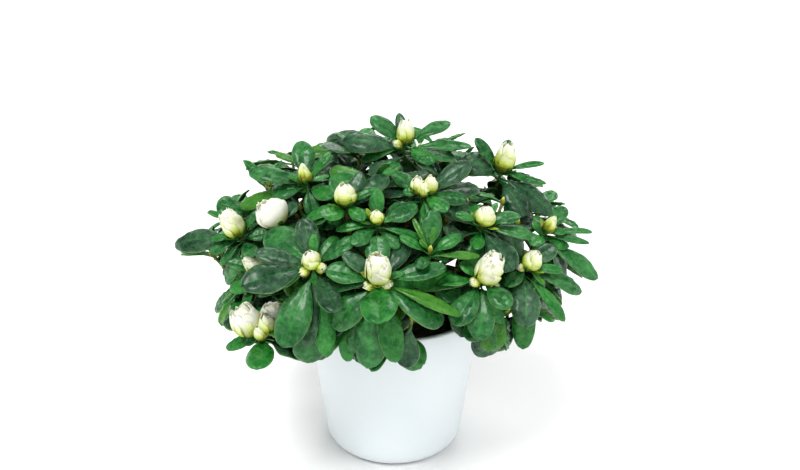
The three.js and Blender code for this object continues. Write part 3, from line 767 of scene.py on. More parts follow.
def silky(wiring, given, place):
    """Faint streaks in a soft colour."""
    cloud = wiring.noise(place, given["Scale"], 2.0)
    colour = wiring.blend(wiring.span(cloud, 0.5, 0.8, 0.0, 0.6), given["Ground"], given["Shade"])
    return colour, wiring.span(cloud, 0.3, 0.7, 0.46, 0.6), cloud


# The leaf skin's second colour is a painted sheen.
LEAF_SKIN = skin_group("Leaf skin", {
    "Green": (0.02, 0.1, 0.03), "Cloud": (0.05, 0.17, 0.05), "Stain": (0.03, 0.04, 0.03),
    "Stain share": 0.4, "Roughness": 0.42,
}, leathery)
GRAIN = skin_group("Grain", {
    "Light": (0.2, 0.14, 0.08), "Dark": (0.05, 0.035, 0.02), "Scale": 300.0, "Stretch": 1.0,
}, grainy)
SILK = skin_group("Silk", {"Ground": (0.8, 0.8, 0.7), "Shade": (0.6, 0.65, 0.3), "Scale": 260.0}, silky)


def material_of(name, group, values, relief, **shader):
    """A material whose colour, roughness and relief come from a group. relief is in millimetres."""
    made = bpy.data.materials.new(name)
    made.use_nodes = True
    wiring = Wiring(made.node_tree)
    skin = wiring.node("ShaderNodeGroup", {}, node_tree=group)
    for label, value in values.items():
        skin.inputs[label].default_value = full_value(value)
    bump = wiring.node("ShaderNodeBump", {
        "Height": skin.outputs["Height"], "Distance": relief * MM, "Strength": 1.0,
    })
    principled = made.node_tree.nodes["Principled BSDF"]
    for source, label in (
        (skin.outputs["Color"], "Base Color"), (skin.outputs["Roughness"], "Roughness"),
        (bump.outputs["Normal"], "Normal"),
    ):
        made.node_tree.links.new(source, principled.inputs[label])
    for label, value in shader.items():
        principled.inputs[label.replace("_", " ")].default_value = value
    return made


# Each leaf's upper face takes one of the first four. Then come its edge, its rib and its underside,
# and the brownish scales below a flower. Green, painted sheen, stain, share of the stain, and roughness.
LEAF_TONES = {
    # The deep tone is an old leaf's dark green, made darker still as painted shade for the leaves inside the
    # crown.
    "deep": ((0.001, 0.042, 0.012), (0.085, 0.2, 0.1), (0.003, 0.018, 0.008), 0.7, 0.3),
    "middle": ((0.001, 0.08, 0.013), (0.082, 0.295, 0.088), (0.002, 0.036, 0.009), 0.6, 0.3),
    "fresh": ((0.002, 0.12, 0.014), (0.07, 0.31, 0.065), (0.003, 0.065, 0.01), 0.45, 0.3),
    "young": ((0.035, 0.17, 0.014), (0.09, 0.27, 0.035), (0.03, 0.12, 0.015), 0.3, 0.36),
    "edge": ((0.1, 0.22, 0.07), (0.16, 0.29, 0.1), (0.07, 0.14, 0.04), 0.3, 0.45),
    "rib": ((0.025, 0.17, 0.022), (0.05, 0.24, 0.04), (0.02, 0.1, 0.015), 0.3, 0.4),
    "underside": ((0.03, 0.15, 0.024), (0.055, 0.21, 0.04), (0.025, 0.1, 0.02), 0.3, 0.6),
    "scale": ((0.25, 0.38, 0.03), (0.38, 0.48, 0.06), (0.16, 0.11, 0.02), 0.7, 0.45),
}
# Here cloud is the colour of the painted sheen.
LEAF_MATERIALS = [
    material_of(
        "Leaf " + name, LEAF_SKIN,
        {"Green": green, "Cloud": cloud, "Stain": stain, "Stain share": share, "Roughness": rough},
        2.8, Specular_IOR_Level=0.12, Coat_Weight=0.5, Coat_Roughness=0.27,
    )
    for name, (green, cloud, stain, share, rough) in LEAF_TONES.items()
]
TONES = {name: i for i, name in enumerate(LEAF_TONES)}
RIB_TONES = {"deep": "middle", "middle": "fresh"}
BLADE = -1  # stands for the tone of a leaf's upper face until the leaf is known

# Petals run from the green of their foot to the white of their edge in these steps.
PETAL_TONES = [
    ((0.25, 0.27, 0.03), (0.2, 0.14, 0.02)),
    ((0.38, 0.48, 0.06), (0.3, 0.38, 0.04)),
    ((0.51, 0.6, 0.14), (0.43, 0.52, 0.1)),
    ((0.61, 0.68, 0.27), (0.54, 0.61, 0.2)),
    ((0.69, 0.73, 0.41), (0.63, 0.68, 0.33)),
    ((0.75, 0.77, 0.54), (0.69, 0.72, 0.45)),
    ((0.78, 0.79, 0.66), (0.74, 0.76, 0.58)),
]
LAST_TONE = len(PETAL_TONES) - 1
PETAL_MATERIALS = [
    material_of(
        f"Petal tone {i + 1}", SILK, {"Ground": ground, "Shade": shade}, 0.12,
        Subsurface_Weight=0.3, Subsurface_Scale=1.5 * MM, Subsurface_Radius=(1, 1, 0.5),
        Specular_IOR_Level=0.3,
    )
    for i, (ground, shade) in enumerate(PETAL_TONES)
]

# Light and dark colour, scale, stretch and relief
GRAINS = {
    "Old bark": ((0.2, 0.145, 0.095), (0.05, 0.034, 0.022), 420.0, 3.0, 0.4),
    "Twig bark": ((0.2, 0.15, 0.06), (0.085, 0.06, 0.025), 700.0, 2.0, 0.2),
    "Green shoot": ((0.24, 0.27, 0.06), (0.11, 0.15, 0.03), 700.0, 2.0, 0.12),
    "Peat": ((0.16, 0.1, 0.075), (0.05, 0.033, 0.027), 520.0, 1.0, 0.8),
    "Peat fibre": ((0.2, 0.12, 0.06), (0.07, 0.04, 0.02), 900.0, 1.0, 0.2),
    "Bare clay": ((0.7, 0.66, 0.6), (0.55, 0.5, 0.44), 900.0, 1.0, 0.15),
}
BARK, TWIG, SHOOT, PEAT, FIBRE, CLAY = (
    material_of(name, GRAIN, {"Light": light, "Dark": dark, "Scale": scale, "Stretch": stretch}, relief)
    for name, (light, dark, scale, stretch, relief) in GRAINS.items()
)


def glaze_material():
    """White glaze is glassy: even gloss, with the slow waves that a dipped pot has."""
    made = material_of("White glaze", SILK, {
        "Ground": (0.7, 0.75, 0.77), "Shade": (0.68, 0.74, 0.76), "Scale": 28.0,
    }, 0.03, Coat_Weight=0.2, Coat_Roughness=0.3)
    tree = made.node_tree
    skin = next(node for node in tree.nodes if node.type == "GROUP")
    gloss = Wiring(tree).span(skin.outputs["Height"], 0.3, 0.7, 0.34, 0.42)
    tree.links.new(gloss, tree.nodes["Principled BSDF"].inputs["Roughness"])
    return made


GLAZE = glaze_material()

# Pot
wall_lean = math.atan2(RIM_RADIUS - FOOT_RADIUS, POT_HEIGHT)
flat_radius = FOOT_RADIUS - FOOT_ROUND * math.tan((math.pi / 2 - wall_lean) / 2)
inner_round = FOOT_ROUND - POT_WALL
peat_edge = POT_HEIGHT - PEAT_EDGE_BELOW_RIM
ground = peat_edge + PEAT_RISE


def inner_radius(height):
    return FOOT_RADIUS + height * math.tan(wall_lean) - POT_WALL / math.cos(wall_lean)


def arc(radius_middle, height_middle, radius, start, stop):
    turns = np.radians(np.linspace(start, stop, ROUND_STEPS + 1))
    return [(radius_middle + radius * math.cos(t), height_middle + radius * math.sin(t)) for t in turns]


def straight(start, stop, steps):
    return [(mix(start[0], stop[0], k / steps), mix(start[1], stop[1], k / steps)) for k in range(1, steps)]


def build_pot():
    lean = math.degrees(wall_lean)
    lip = POT_WALL / 2
    foot = arc(flat_radius, FOOT_ROUND, FOOT_ROUND, -90, -lean)
    rim = arc(RIM_RADIUS - lip, POT_HEIGHT - lip, lip, 0, 180)
    hollow = arc(flat_radius, FLOOR_THICKNESS + inner_round, inner_round, -lean, -90)
    ring = flat_radius - FOOT_RING
    profile = [
        (0, FOOT_HOLLOW), *((ring - inward, up) for inward, up in FOOT_CHAMFER), (ring, 0),
        *foot, *straight(foot[-1], rim[0], WALL_STEPS["outer"]),
        *rim, *straight(rim[-1], hollow[0], WALL_STEPS["inner"]), *hollow,
        (0, FLOOR_THICKNESS),
    ]
    points, faces = lathe(profile, POT_SIDES)
    bare = points[faces[4]][:, :, 2].max(1) < BARE_BELOW
    piece = Piece("pot_glazed")
    piece.add(points, faces, {3: np.repeat([1, 0], POT_SIDES), 4: bare.astype(int)})
    piece.make([GLAZE, CLAY], "glaze", "pot")


def peat_height(x, y):
    """The peat's surface: a low mound with pits and lumps, even round the stem."""
    radius = math.hypot(x, y)
    sloping = max(0.0, radius / inner_radius(peat_edge) - PEAT_FLAT)
    mound = PEAT_RISE * (1 - sloping**2 / PEAT_FALL)
    lumps = sum(high * noise.noise((x / wide, y / wide, number)) for high, wide, number in PEAT_LUMPS)
    rough = min(1.0, max(0.0, (radius - PEAT_CALM) / PEAT_ROUGHENS))
    return peat_edge + mound + lumps * rough - PEAT_PRESSED * (1 - rough)


def build_peat():
    edge = inner_radius(peat_edge) - SEAT_GAP
    floor = FLOOR_THICKNESS + SEAT_GAP
    foot_share, foot_rise = PEAT_FOOT
    heights = np.linspace(floor + inner_round, peat_edge - PEAT_SHOULDER, PEAT_SIDE_RINGS)
    side = [(inner_radius(z) - SEAT_GAP, z) for z in heights]
    rings = [(edge * (k + 1) / PEAT_RINGS, 0) for k in range(PEAT_RINGS)]
    profile = [(0, floor), (flat_radius * foot_share, floor + foot_rise), *side, *rings[::-1], (0, 0)]
    points, faces = lathe(profile, PEAT_SIDES)
    top = np.flatnonzero(points[:, 2] == 0)
    points[top, 2] = [peat_height(x, y) for x, y in points[top, :2]]
    piece = Piece("peat_surface")
    piece.add(points, faces, {3: 0, 4: 0})
    for k in range(PEAT_CRUMBS):
        add_crumb(piece, k, edge)
    for k in range(PEAT_FIBRES):
        add_fibre(piece, k, edge)
    piece.make([PEAT, FIBRE], "peat", "peat")


def peat_spot(k, edge, use):
    radius = mix(LITTER_FROM, edge - LITTER_EDGE, math.sqrt(chance(k, 1, use)))
    turn = 2 * math.pi * chance(k, 2, use)
    x, y = radius * math.cos(turn), radius * math.sin(turn)
    return np.array([x, y, peat_height(x, y)])


def add_crumb(piece, k, edge):
    """A crumb is a small rough lump, half sunk."""
    size = mix(*CRUMB_SIZE, chance(k, 3, 0) ** 2)
    points, faces = lathe(CRUMB_PROFILE, CRUMB_SIDES)
    shaken = np.array([1 + CRUMB_ROUGH * either(k, i, 4) for i in range(len(points))])
    points = points * shaken[:, None] * size
    points = points * [1, mix(CRUMB_NARROWEST, 1, chance(k, 4, 0)), CRUMB_FLAT]
    piece.add(points + peat_spot(k, edge, 0), faces, {3: 0, 4: 0})


def add_fibre(piece, k, edge):
    """A fibre is a short bent thread that lies on the peat."""
    start = peat_spot(k, edge, 8)
    turn = 2 * math.pi * chance(k, 5, 8)
    length = mix(*FIBRE_LENGTH, chance(k, 6, 8))
    ahead = np.array([math.cos(turn), math.sin(turn), 0])
    aside = np.array([-ahead[1], ahead[0], 0])
    path = []
    for share in FIBRE_POINTS:
        x, y, _ = start + ahead * length * share + aside * either(k, int(9 + 10 * share), 8)
        if math.hypot(x, y) > edge - FIBRE_EDGE:
            return
        path.append(np.array([x, y, peat_height(x, y) + FIBRE_LIFT]))
    path = smooth_path(path, FIBRE_STEPS)
    points, faces = tube(path, [FIBRE_RADIUS] * len(path), FIBRE_SIDES)
    piece.add(points, faces, {3: 1, 4: 1})


# Main stem and boughs
def stem_point(height):
    share = height / STEM_HEIGHT
    return np.array([STEM_LEAN[0] * share**2, STEM_LEAN[1] * share**2, ground + SEAT_GAP + height])


def stem_radius(height):
    flare = max(0.0, 1 - height / FLARE_HEIGHT)
    return mix(STEM_RADIUS, STEM_TIP_RADIUS, height / STEM_HEIGHT) + (FLARE_RADIUS - STEM_RADIUS) * flare**2


def bark_relief(seed, depth, ridges):
    """Long ridges and furrows, broken up by knots."""
    def relief(along, turn):
        x, y = math.cos(turn), math.sin(turn)
        ridge = noise.noise((x * ridges, y * ridges, along * BARK_RIDGE["rate"] + seed))
        knot = noise.noise((x * 2 * ridges, y * 2 * ridges, along * BARK_KNOT["rate"] + 2 * seed))
        return depth * (-abs(ridge) * BARK_RIDGE["share"] + BARK_KNOT["share"] * knot)
    return relief


def build_wood(name, replaced, points, faces):
    piece = Piece(name)
    piece.add(points, faces, {3: 0, 4: 0})
    piece.make([BARK], "bark", replaced)


def build_stem():
    heights = np.linspace(0, STEM_HEIGHT, STEM_RINGS)
    path = [stem_point(h) for h in heights]
    relief = bark_relief(BARK_SEEDS["stem"], **STEM_BARK)
    points, faces = tube(path, [stem_radius(h) for h in heights], STEM_SIDES, relief)
    points[[*range(STEM_SIDES), -2], 2] = ground + SEAT_GAP - STEM_SUNK  # the peat is loose round it
    build_wood("stem_bark", "main_stem", points, faces)


def quadratic(start, control, end, count):
    t = np.linspace(0, 1, count)[:, None]
    return (1 - t) ** 2 * start + 2 * t * (1 - t) * control + t**2 * end


def build_bough(grown, seed):
    path = quadratic(*grown["curve"], BOUGH_RINGS)
    radii = np.linspace(BOUGH_RADIUS, BOUGH_TIP_RADIUS, BOUGH_RINGS)
    bough = tube(path, radii, BOUGH_SIDES, bark_relief(seed, **BOUGH_BARK))
    build_wood("bough_bark_" + grown["name"], "bough_" + grown["name"], *bough)


# Shoots
MASS_WAYS = [direction(azimuth, rise) for _, azimuth, rise, _ in MASSES]


def angle_between(a, b):
    return math.degrees(math.acos(max(-1.0, min(1.0, a @ b))))


def shoot_at(way, share, flower, number, length):
    outward = unit(way / reach_along(way, TIP_REACH)) * SHOOT_OUTWARD
    axis = unit(outward + SHOOT_UPWARD * UP)
    tip = CROWN_MIDDLE + share * way * reach_along(way, TIP_REACH)
    mass = int(np.argmin([angle_between(other, way) for other in MASS_WAYS]))
    return {
        "way": way, "flower": flower, "number": number, "axis": axis, "tip": tip,
        "foot": tip - length * axis, "mass": mass, "size": 1.0, "side_buds": 0, "kind": "outer",
        "bare": length if flower in LEAFY_ENDS else 0,
    }


def spiral_way(i, count, lowest, first, wobble):
    """A direction of an even spread of them, a little off its place."""
    sine = mix(math.sin(math.radians(lowest)), 1, (i + 0.5) / count)
    rise = math.degrees(math.asin(sine)) + wobble * either(i, 0, 1)
    return direction((first + i) * GOLDEN_ANGLE + wobble * either(i, 0, 2), rise)


def shown_shoots():
    for number, (azimuth, rise, share, place, flower, size, side_buds) in enumerate(SHOWN_SHOOTS):
        shoot = shoot_at(direction(azimuth, rise), share, flower, number, SHOOT_LENGTH)
        if place:
            shoot["tip"] = seen_at(*place, picture_place(shoot["tip"])[2])
            shoot["foot"] = shoot["tip"] - SHOOT_LENGTH * unit(shoot["axis"] + STALK_TURN * CAMERA_BACK)
        if flower in FLOWER_LEANS:
            shoot["axis"] = unit(np.array(FLOWER_LEANS[flower]))
        yield {**shoot, "size": size, "side_buds": side_buds}


def shoot_list():
    """The shoots that show, those that fill the rest of the crown, and the short ones inside it."""
    shoots = list(shown_shoots())
    shown_ways = [shoot["way"] for shoot in shoots]
    for i in range(FILL_SHOOTS):
        way = spiral_way(i, FILL_SHOOTS, LOWEST_RISE, 0, SHOOT_WOBBLE)
        if any(angle_between(way, shown) < SHOOT_APART for shown in shown_ways):
            continue
        flower = FILL_FLOWERS[int(chance(i, 0, 3) * len(FILL_FLOWERS))]
        if way[1] < FRONT_BARE_TO or way[2] > TOP_BARE_FROM:
            flower = "none"  # the photo shows no more flowers there
        shoot = shoot_at(way, mix(*SHOOT_SHARE, chance(i, 0, 4)), flower, len(shoots), SHOOT_LENGTH)
        if flower in ("plump", "half"):
            shoot["side_buds"] = int(MOST_SIDE_BUDS * chance(i, 0, 7))
        if not in_an_open_place(shoot["tip"]):
            shoots.append(shoot)
    for i in range(INNER_SHOOTS):
        number = INNER_NUMBER + i
        way = spiral_way(i, INNER_SHOOTS, INNER_LOWEST_RISE, INNER_NUMBER, 0)
        shoot = shoot_at(way, mix(*INNER_SHARE, chance(number, 0, 4)), "bare", number, INNER_LENGTH)
        shoot["kind"] = "inner"
        if not in_an_open_place(shoot["tip"]):
            shoots.append(shoot)
    return shoots


# Twigs
def grow_twigs(shoots, wood):
    """Each twig starts from the grown wood that is nearest to its shoot."""
    hub = wood[0][0]
    twigs = []
    for shoot in sorted(shoots, key=lambda one: np.linalg.norm(one["foot"] - hub)):
        foot = shoot["foot"]
        source, far = min(wood, key=lambda place: np.linalg.norm(place[0] - foot) + DETOUR_COST * place[1])
        span = np.linalg.norm(foot - source)
        points = [source]
        for share in TWIG_KNOTS:
            knot = mix(source, foot, share) - UP * TWIG_SAG * span * math.sin(math.pi * share)
            points.append(knot)
            wood.append((knot, far + share * span))
        twigs.append((shoot, [*points, foot, shoot["tip"]]))
    return twigs


def grow_mass(mass):
    name, azimuth, rise, height = MASSES[mass]
    own = [shoot for shoot in shoots if shoot["mass"] == mass]
    outer, inner = ([shoot for shoot in own if shoot["kind"] == kind] for kind in LEAVES)
    middle = np.mean([shoot["foot"] for shoot in outer], axis=0)
    start = end = stem_point(height)
    ahead = unit(start - stem_point(height - COLLAR_LENGTH))
    curve = None
    if name != "top":
        end = mix(start, middle, BOUGH_REACH)
        swing = BOUGH_SWING["high" if rise > HIGH_RISE else "low"]
        control = mix(start, end, 0.5) + swing * direction(azimuth, 0) - BOUGH_SAG * UP
        curve = (start, control, end)
        ahead = unit(end - control)
    collar = end + ahead * (SEAT_GAP + COLLAR_LENGTH)
    hub = mix(collar, middle, HUB_SHARE)
    wood = [(hub, 0)]
    return {
        "name": name, "own": own, "curve": curve, "stem": [end + ahead * SEAT_GAP * 0.5, collar, hub],
        "twigs": grow_twigs(outer, wood) + grow_twigs(inner, wood),
    }


def shoot_end(shoot):
    return shoot["tip"] - shoot["axis"] * min(shoot["bare"], SHOOT_END_CUT)


def twig_shape(shoot, points):
    """A twig, which ends at its top leaf or flower."""
    path = smooth_path([*points[:-1], shoot_end(shoot)], TWIG_STEPS)
    along = np.linspace(0, 1, len(path))
    knots = 1 + TWIG_SWELL * np.cos(2 * np.pi * TWIG_STEPS * along) * (along < TWIG_EVEN_FROM)
    corners, faces = tube(path, mix(*TWIG_RADII[shoot["kind"]], along) * knots, TWIG_SIDES)
    rows = np.repeat(np.arange(len(path) - 1), TWIG_SIDES)
    return corners, faces, {3: np.repeat([0, 1], TWIG_SIDES), 4: (rows >= GREEN_ROW).astype(int)}


def build_twigs(name, group):
    piece = Piece(name)
    for grown in group:
        path = smooth_path(grown["stem"], STEM_END_STEPS)
        radii = np.interp(
            np.arange(len(path)), [STEM_END_STEPS, 2 * STEM_END_STEPS], [BOUGH_TIP_RADIUS, STEM_END_RADIUS],
        )
        piece.add(*tube(path, radii, TWIG_SIDES), {3: 0, 4: 0})
        for shoot, points in grown["twigs"]:
            piece.add(*twig_shape(shoot, points))
    piece.make([TWIG, SHOOT], "bark")


# Leaves
def held(habit, number, rank, low, quilted):
    """How a leaf is bent and creased. quilted, from 0 to 1, is how strongly its veins show."""
    return {
        "bend": math.radians(mix(*habit["bend"], low) + WOBBLE["bend"] * either(number, rank, 10)),
        "fold": mix(*habit["fold"], low) + habit["askew"] * either(number, rank, 11),
        "twist": math.radians(habit["twist"] * either(number, rank, 12)),
        "sickle": habit["sickle"] * either(number, rank, 13),
        "wave": habit["wave"] + WOBBLE["wave"] * chance(number, rank, 14),
        "phase": phase(number, rank, 15), "low": low,
        "quilt": mix(*habit["quilt"], quilted) * (QUILT_LUCK[0] + QUILT_LUCK[1] * chance(number, rank, 16)),
    }


def leaf_of(shoot, rank, count, turn, lift, shrink):
    """Where a leaf grows and how it is held. turn and lift, in degrees, nudge it."""
    axis, number = shoot["axis"], shoot["number"]
    low = rank / (count - 1)
    side = unit(np.cross(ASIDE["leaf"], axis))
    around = spun(side, axis, math.radians(rank * GOLDEN_ANGLE + 360 * chance(number, 0, 5) + turn))
    top_open = TUFT_OPEN if shoot["flower"] in LEAFY_ENDS else LEAF_OPEN[0]
    opened = mix(top_open, LEAF_OPEN[1], low**LEAF_OPENING) + WOBBLE["open"] * either(number, rank, 6) + lift
    ahead = unit(turned(axis, around, math.radians(opened)) - UP * mix(*LEAF_HANG, low))
    face = square_to(mix(axis, UP, LEAF_FACES_UP), ahead)
    face = spun(face, ahead, math.radians(WOBBLE["roll"] * either(number, rank, 7)))
    growth = math.sin(math.pi * mix(LEAF_GROWTH["from"], LEAF_GROWTH["to"], low))
    size = mix(LEAF_GROWTH["least"], LEAF_GROWTH["most"], growth)
    length = LEAF_LENGTH * (size * (1 + WOBBLE["length"] * either(number, rank, 8))) * shrink
    width = length * mix(*LEAF_WIDTH_SHARE, min(1, 2 * low)) * (1 + WOBBLE["width"] * either(number, rank, 9))
    return {
        **held(GROWN_HABIT, number, rank, low, low),
        "root": shoot["tip"] - axis * mix(*LEAF_SEAT, low), "ahead": ahead, "face": face,
        "length": length, "width": width,
    }


def leaf_points(leaf, along, across, lower):
    """Points of a leaf, `along` from root to tip and `across` from edge to edge, sunk by `lower`."""
    blade = np.clip((along - PETIOLE) / (1 - PETIOLE), 0, 1)
    shape = bulge(blade, LEAF_WIDEST).clip(0) ** mix(*LEAF_ROUNDING, blade)
    half = np.maximum(PETIOLE_HALF - PETIOLE_THINNING * blade, leaf["width"] / 2 * shape)
    wide = np.abs(across)
    grown = np.clip(blade * RELIEF_GROWS, 0, 1) * np.clip((1 - blade) * RELIEF_FADES, 0, 1)
    above = half * (leaf["fold"] * wide + LEAF_SWELL * wide * (1 - wide) - EDGE_DROP * wide**3)
    above -= RIB_GROOVE["depth"] * grown * np.exp(-((across * half / RIB_GROOVE["width"]) ** 2))
    veins = np.cos(2 * np.pi * LEAF_VEINS * (blade - VEIN_SLANT * wide) + leaf["phase"])
    above += leaf["quilt"] * grown * np.sin(np.pi * wide) * veins
    ripple = EDGE_WAVES * blade + leaf["phase"] + EDGE_WAVE_SHIFT * np.sign(across)
    above += leaf["wave"] * half * wide**2 * np.sin(ripple)
    above -= lower
    turn = leaf["bend"] * along
    radius = leaf["length"] / leaf["bend"]
    side = np.cross(leaf["face"], leaf["ahead"])
    normal = np.multiply.outer(np.cos(turn), leaf["face"]) + np.multiply.outer(np.sin(turn), leaf["ahead"])
    roll = leaf["twist"] * along
    out = half * across
    sideways = out * np.cos(roll) + above * np.sin(roll) + leaf["sickle"] * leaf["length"] * along**2
    lifted = above * np.cos(roll) - out * np.sin(roll)
    return (
        leaf["root"]
        + np.multiply.outer(radius * np.sin(turn), leaf["ahead"])
        - np.multiply.outer(radius * (1 - np.cos(turn)), leaf["face"])
        + np.multiply.outer(sideways, side)
        + normal * lifted[..., None]
    ).reshape(-1, 3)


def leaf_pattern(rows):
    """Grids of a leaf's upper and under points, its faces for 3 and 4 corners, and their finishes."""
    k = np.arange(1, rows) / rows
    blade = 0.5 * k + 0.5 * np.sin(np.pi / 2 * k)
    along = np.concatenate([PETIOLE_ROWS, PETIOLE + (1 - PETIOLE) * blade])
    count, columns, under = len(along), len(LEAF_COLUMNS), len(UNDER_COLUMNS)
    top = np.arange(count * columns).reshape(count, columns)
    inner = top.size + np.arange(count * under).reshape(count, under)
    back = np.concatenate([top[:, -1:], inner[:, ::-1], top[:, :1]], 1)  # shares the edge
    faces, skins = {3: [], 4: []}, {3: [], 4: []}
    for sheet, skin in ((top, BLADE), (back, TONES["underside"])):
        kind = np.full((count - 1, sheet.shape[1] - 1), skin)
        if skin == BLADE:
            kind[:, [0, -1]] = TONES["edge"]
            kind[: int(RIB_LENGTH * count), columns // 2 - 1] = TONES["rib"]
            kind[: len(PETIOLE_ROWS) + 1] = TONES["rib"]
        faces[4].append(sheet_quads(sheet))
        skins[4].append(kind.ravel())
        root = np.full(kind.shape[1], top.size + inner.size)
        faces[3].append(np.stack([root, sheet[0, 1:], sheet[0, :-1]], 1))
        faces[3].append(np.stack([sheet[-1, :-1], sheet[-1, 1:], root + 1], 1))
        skins[3] += [np.full(len(root), TONES["rib"]), np.full(len(root), skin)]
    grids = [np.meshgrid(along, across, indexing="ij") for across in (LEAF_COLUMNS, UNDER_COLUMNS)]
    return grids, *({n: np.concatenate(found[n]) for n in found} for found in (faces, skins))


LEAF_PATTERNS = {kind: leaf_pattern(rows) for kind, rows in LEAF_ROWS.items()}


def add_leaf(piece, leaf, tone, kind):
    (upper, under), faces, skins = LEAF_PATTERNS[kind]
    rows, columns = under
    thick = LEAF_THICKNESS * (1 + RIB_THICKER * (columns == 0))
    thick = thick * np.clip(TIP_THINNING * (1 - rows), TIP_THINNEST, 1)
    points = np.concatenate([
        leaf_points(leaf, *upper, 0),
        leaf_points({**leaf, "quilt": 0}, *under, thick + leaf["quilt"]),
        leaf_points(leaf, np.array([0.0, 1.0 + TIP_POINT / leaf["length"]]), np.zeros(2), LEAF_THICKNESS / 2),
    ])
    deal = {TONES["rib"]: TONES[RIB_TONES.get(tone, "rib")], BLADE: TONES[tone]}
    piece.add(points, faces, {
        n: np.select([skin == old for old in deal], list(deal.values()), skin) for n, skin in skins.items()
    })


# A leaf's room is tested with a plain thick stand-in for its blade: an upper and an under sheet of
# ROUGH_SIZE points, with walls round their rim.
ROUGH_GRID = np.meshgrid([0.16, 0.34, 0.52, 0.7, 0.86, 1.0], [-1.0, 0, 1.0], indexing="ij")
ROUGH_SIZE = ROUGH_GRID[0].size
ROUGH_OUTLINE = [5, 6, 8, 9, 11, 16]  # its points that have to stay in the crown
ROUGH_QUADS = sheet_quads(np.arange(ROUGH_SIZE).reshape(6, 3))
ROUGH_RIM = np.array([0, 3, 6, 9, 12, 15, 16, 17, 14, 11, 8, 5, 2, 1])
ROUGH_NEXT = np.roll(ROUGH_RIM, -1)
ROUGH_WALLS = np.stack([ROUGH_RIM, ROUGH_NEXT, ROUGH_NEXT + ROUGH_SIZE, ROUGH_RIM + ROUGH_SIZE], 1)
ROUGH_FACES = {4: np.concatenate([ROUGH_QUADS, ROUGH_QUADS + ROUGH_SIZE, ROUGH_WALLS])}
SIGHT_GRID = np.meshgrid(np.linspace(0.1, 0.98, 20), LEAF_COLUMNS[1:-1])  # has to stay in sight


def rough_leaf(leaf, extra):
    return np.concatenate([
        leaf_points(leaf, *ROUGH_GRID, lower) for lower in (-extra, LEAF_THICKNESS + extra)
    ])


# A leaf takes the first of these nudges that keeps it clear: degrees round the twig, degrees up or
# down, and its size.
NUDGES = [
    (0, 0, 1), (12, 8, 1), (-12, -8, 1), (22, -14, 1), (-22, 14, 1), (6, 24, 1), (-6, -24, 1),
    (34, 4, 0.94), (-34, -4, 0.94), (28, 30, 0.9), (-28, -30, 0.9), (44, -18, 0.86), (-44, 18, 0.86),
    (16, 40, 0.8), (-16, 44, 0.8), (60, 10, 0.76), (-60, 10, 0.76), (8, 12, 0.68), (-8, -16, 0.68),
]
POT_TOP_CLEARANCE = 1.5
LEAF = -1  # what a leaf's room is kept under, so that no other leaf takes it


def is_free(points, shoot):
    """Whether a leaf's room is free of the pot, the peat and all other growth than its own shoot."""
    out = np.hypot(points[:, 0], points[:, 1])
    wall = RIM_RADIUS - (POT_HEIGHT - points[:, 2]) * math.tan(wall_lean)
    in_pot = (points[:, 2] < POT_HEIGHT + POT_TOP_CLEARANCE) & (out < wall + POT_TOP_CLEARANCE)
    return not in_pot.any() and not space.meets(points, ROUGH_FACES, shoot["number"])


def place_leaf(shoot, rank, count):
    for nudge in NUDGES:
        leaf = leaf_of(shoot, rank, count, *nudge)
        points = rough_leaf(leaf, CLEARANCE)
        if in_an_open_place(points) or not all(inside_crown(p) for p in points[ROUGH_OUTLINE]):
            continue
        if front.share_hidden(points) <= MOST_HIDDEN and is_free(points, shoot):
            space.keep(LEAF, rough_leaf(leaf, 0), ROUGH_FACES)
            return leaf
    return None


def shown_leaf(shoot, low, place, width, nudge):
    """A leaf whose tip shows at a place of the picture. nudge, a share of its length, moves it nearer."""
    root = shoot["tip"] - shoot["axis"] * mix(*SHOWN_SEAT, low)
    _, root_down, depth = picture_place(root)
    width = width * depth / FOCAL_PIXELS
    flat = np.linalg.norm(seen_at(*place, depth) - root)
    length = max(flat, min(LEAF_LENGTH, width / SHOWN_PROPORTION))
    nearer = math.sqrt(length**2 - flat**2) * (1 if place[1] > root_down else SHOWN_BACKWARD) + nudge * length
    chord = seen_at(*place, depth - nearer) - root
    ahead = unit(chord)
    face = square_to(unit(mix(UP, CAMERA_BACK, SHOWN_FACES_FRONT)), ahead)
    in_view = math.sqrt(max(LEAST_IN_VIEW, 1 - (np.cross(face, ahead) @ CAMERA_BACK) ** 2))
    quilted = min(1, width / QUILTED_WIDTH)
    leaf = held(SHOWN_HABIT, shoot["number"], round(100 * low), low, quilted)
    half = leaf["bend"] / 2
    return {
        **leaf, "root": root,
        "ahead": turned(ahead, face, half), "face": turned(face, ahead, -half),
        "length": np.linalg.norm(chord) * leaf["bend"] / 2 / math.sin(half), "width": width / in_view,
    }


def place_shown_leaf(shoot, low, place, width):
    for extra in (CLEARANCE / 2, 0):
        for nudge in SHOWN_NUDGES:
            leaf = shown_leaf(shoot, low, place, width, nudge)
            if is_free(rough_leaf(leaf, extra), shoot):
                space.keep(LEAF, rough_leaf(leaf, 0), ROUGH_FACES)
                front.keep(leaf_points(leaf, *SIGHT_GRID, 0))
                return leaf
    return None


# Young leaves at the top of a shoot are bright, and the old ones below are dark. The leaves of the short
# shoots inside the crown are mostly deep, as painted shade. For each place: how low it ends, and each tone
# with the luck below which a leaf has it.
INNER_TONES = (("deep", 0.8), ("middle", 1))
TUFT_TONES = (0.42, (("young", 0.3), ("fresh", 1)))
OUTER_TONES = [
    (0.22, (("fresh", 0.75), ("middle", 1))),
    (0.5, (("middle", 0.5), ("deep", 0.8), ("fresh", 1))),
    (2, (("deep", 0.5), ("middle", 0.88), ("fresh", 1))),
]


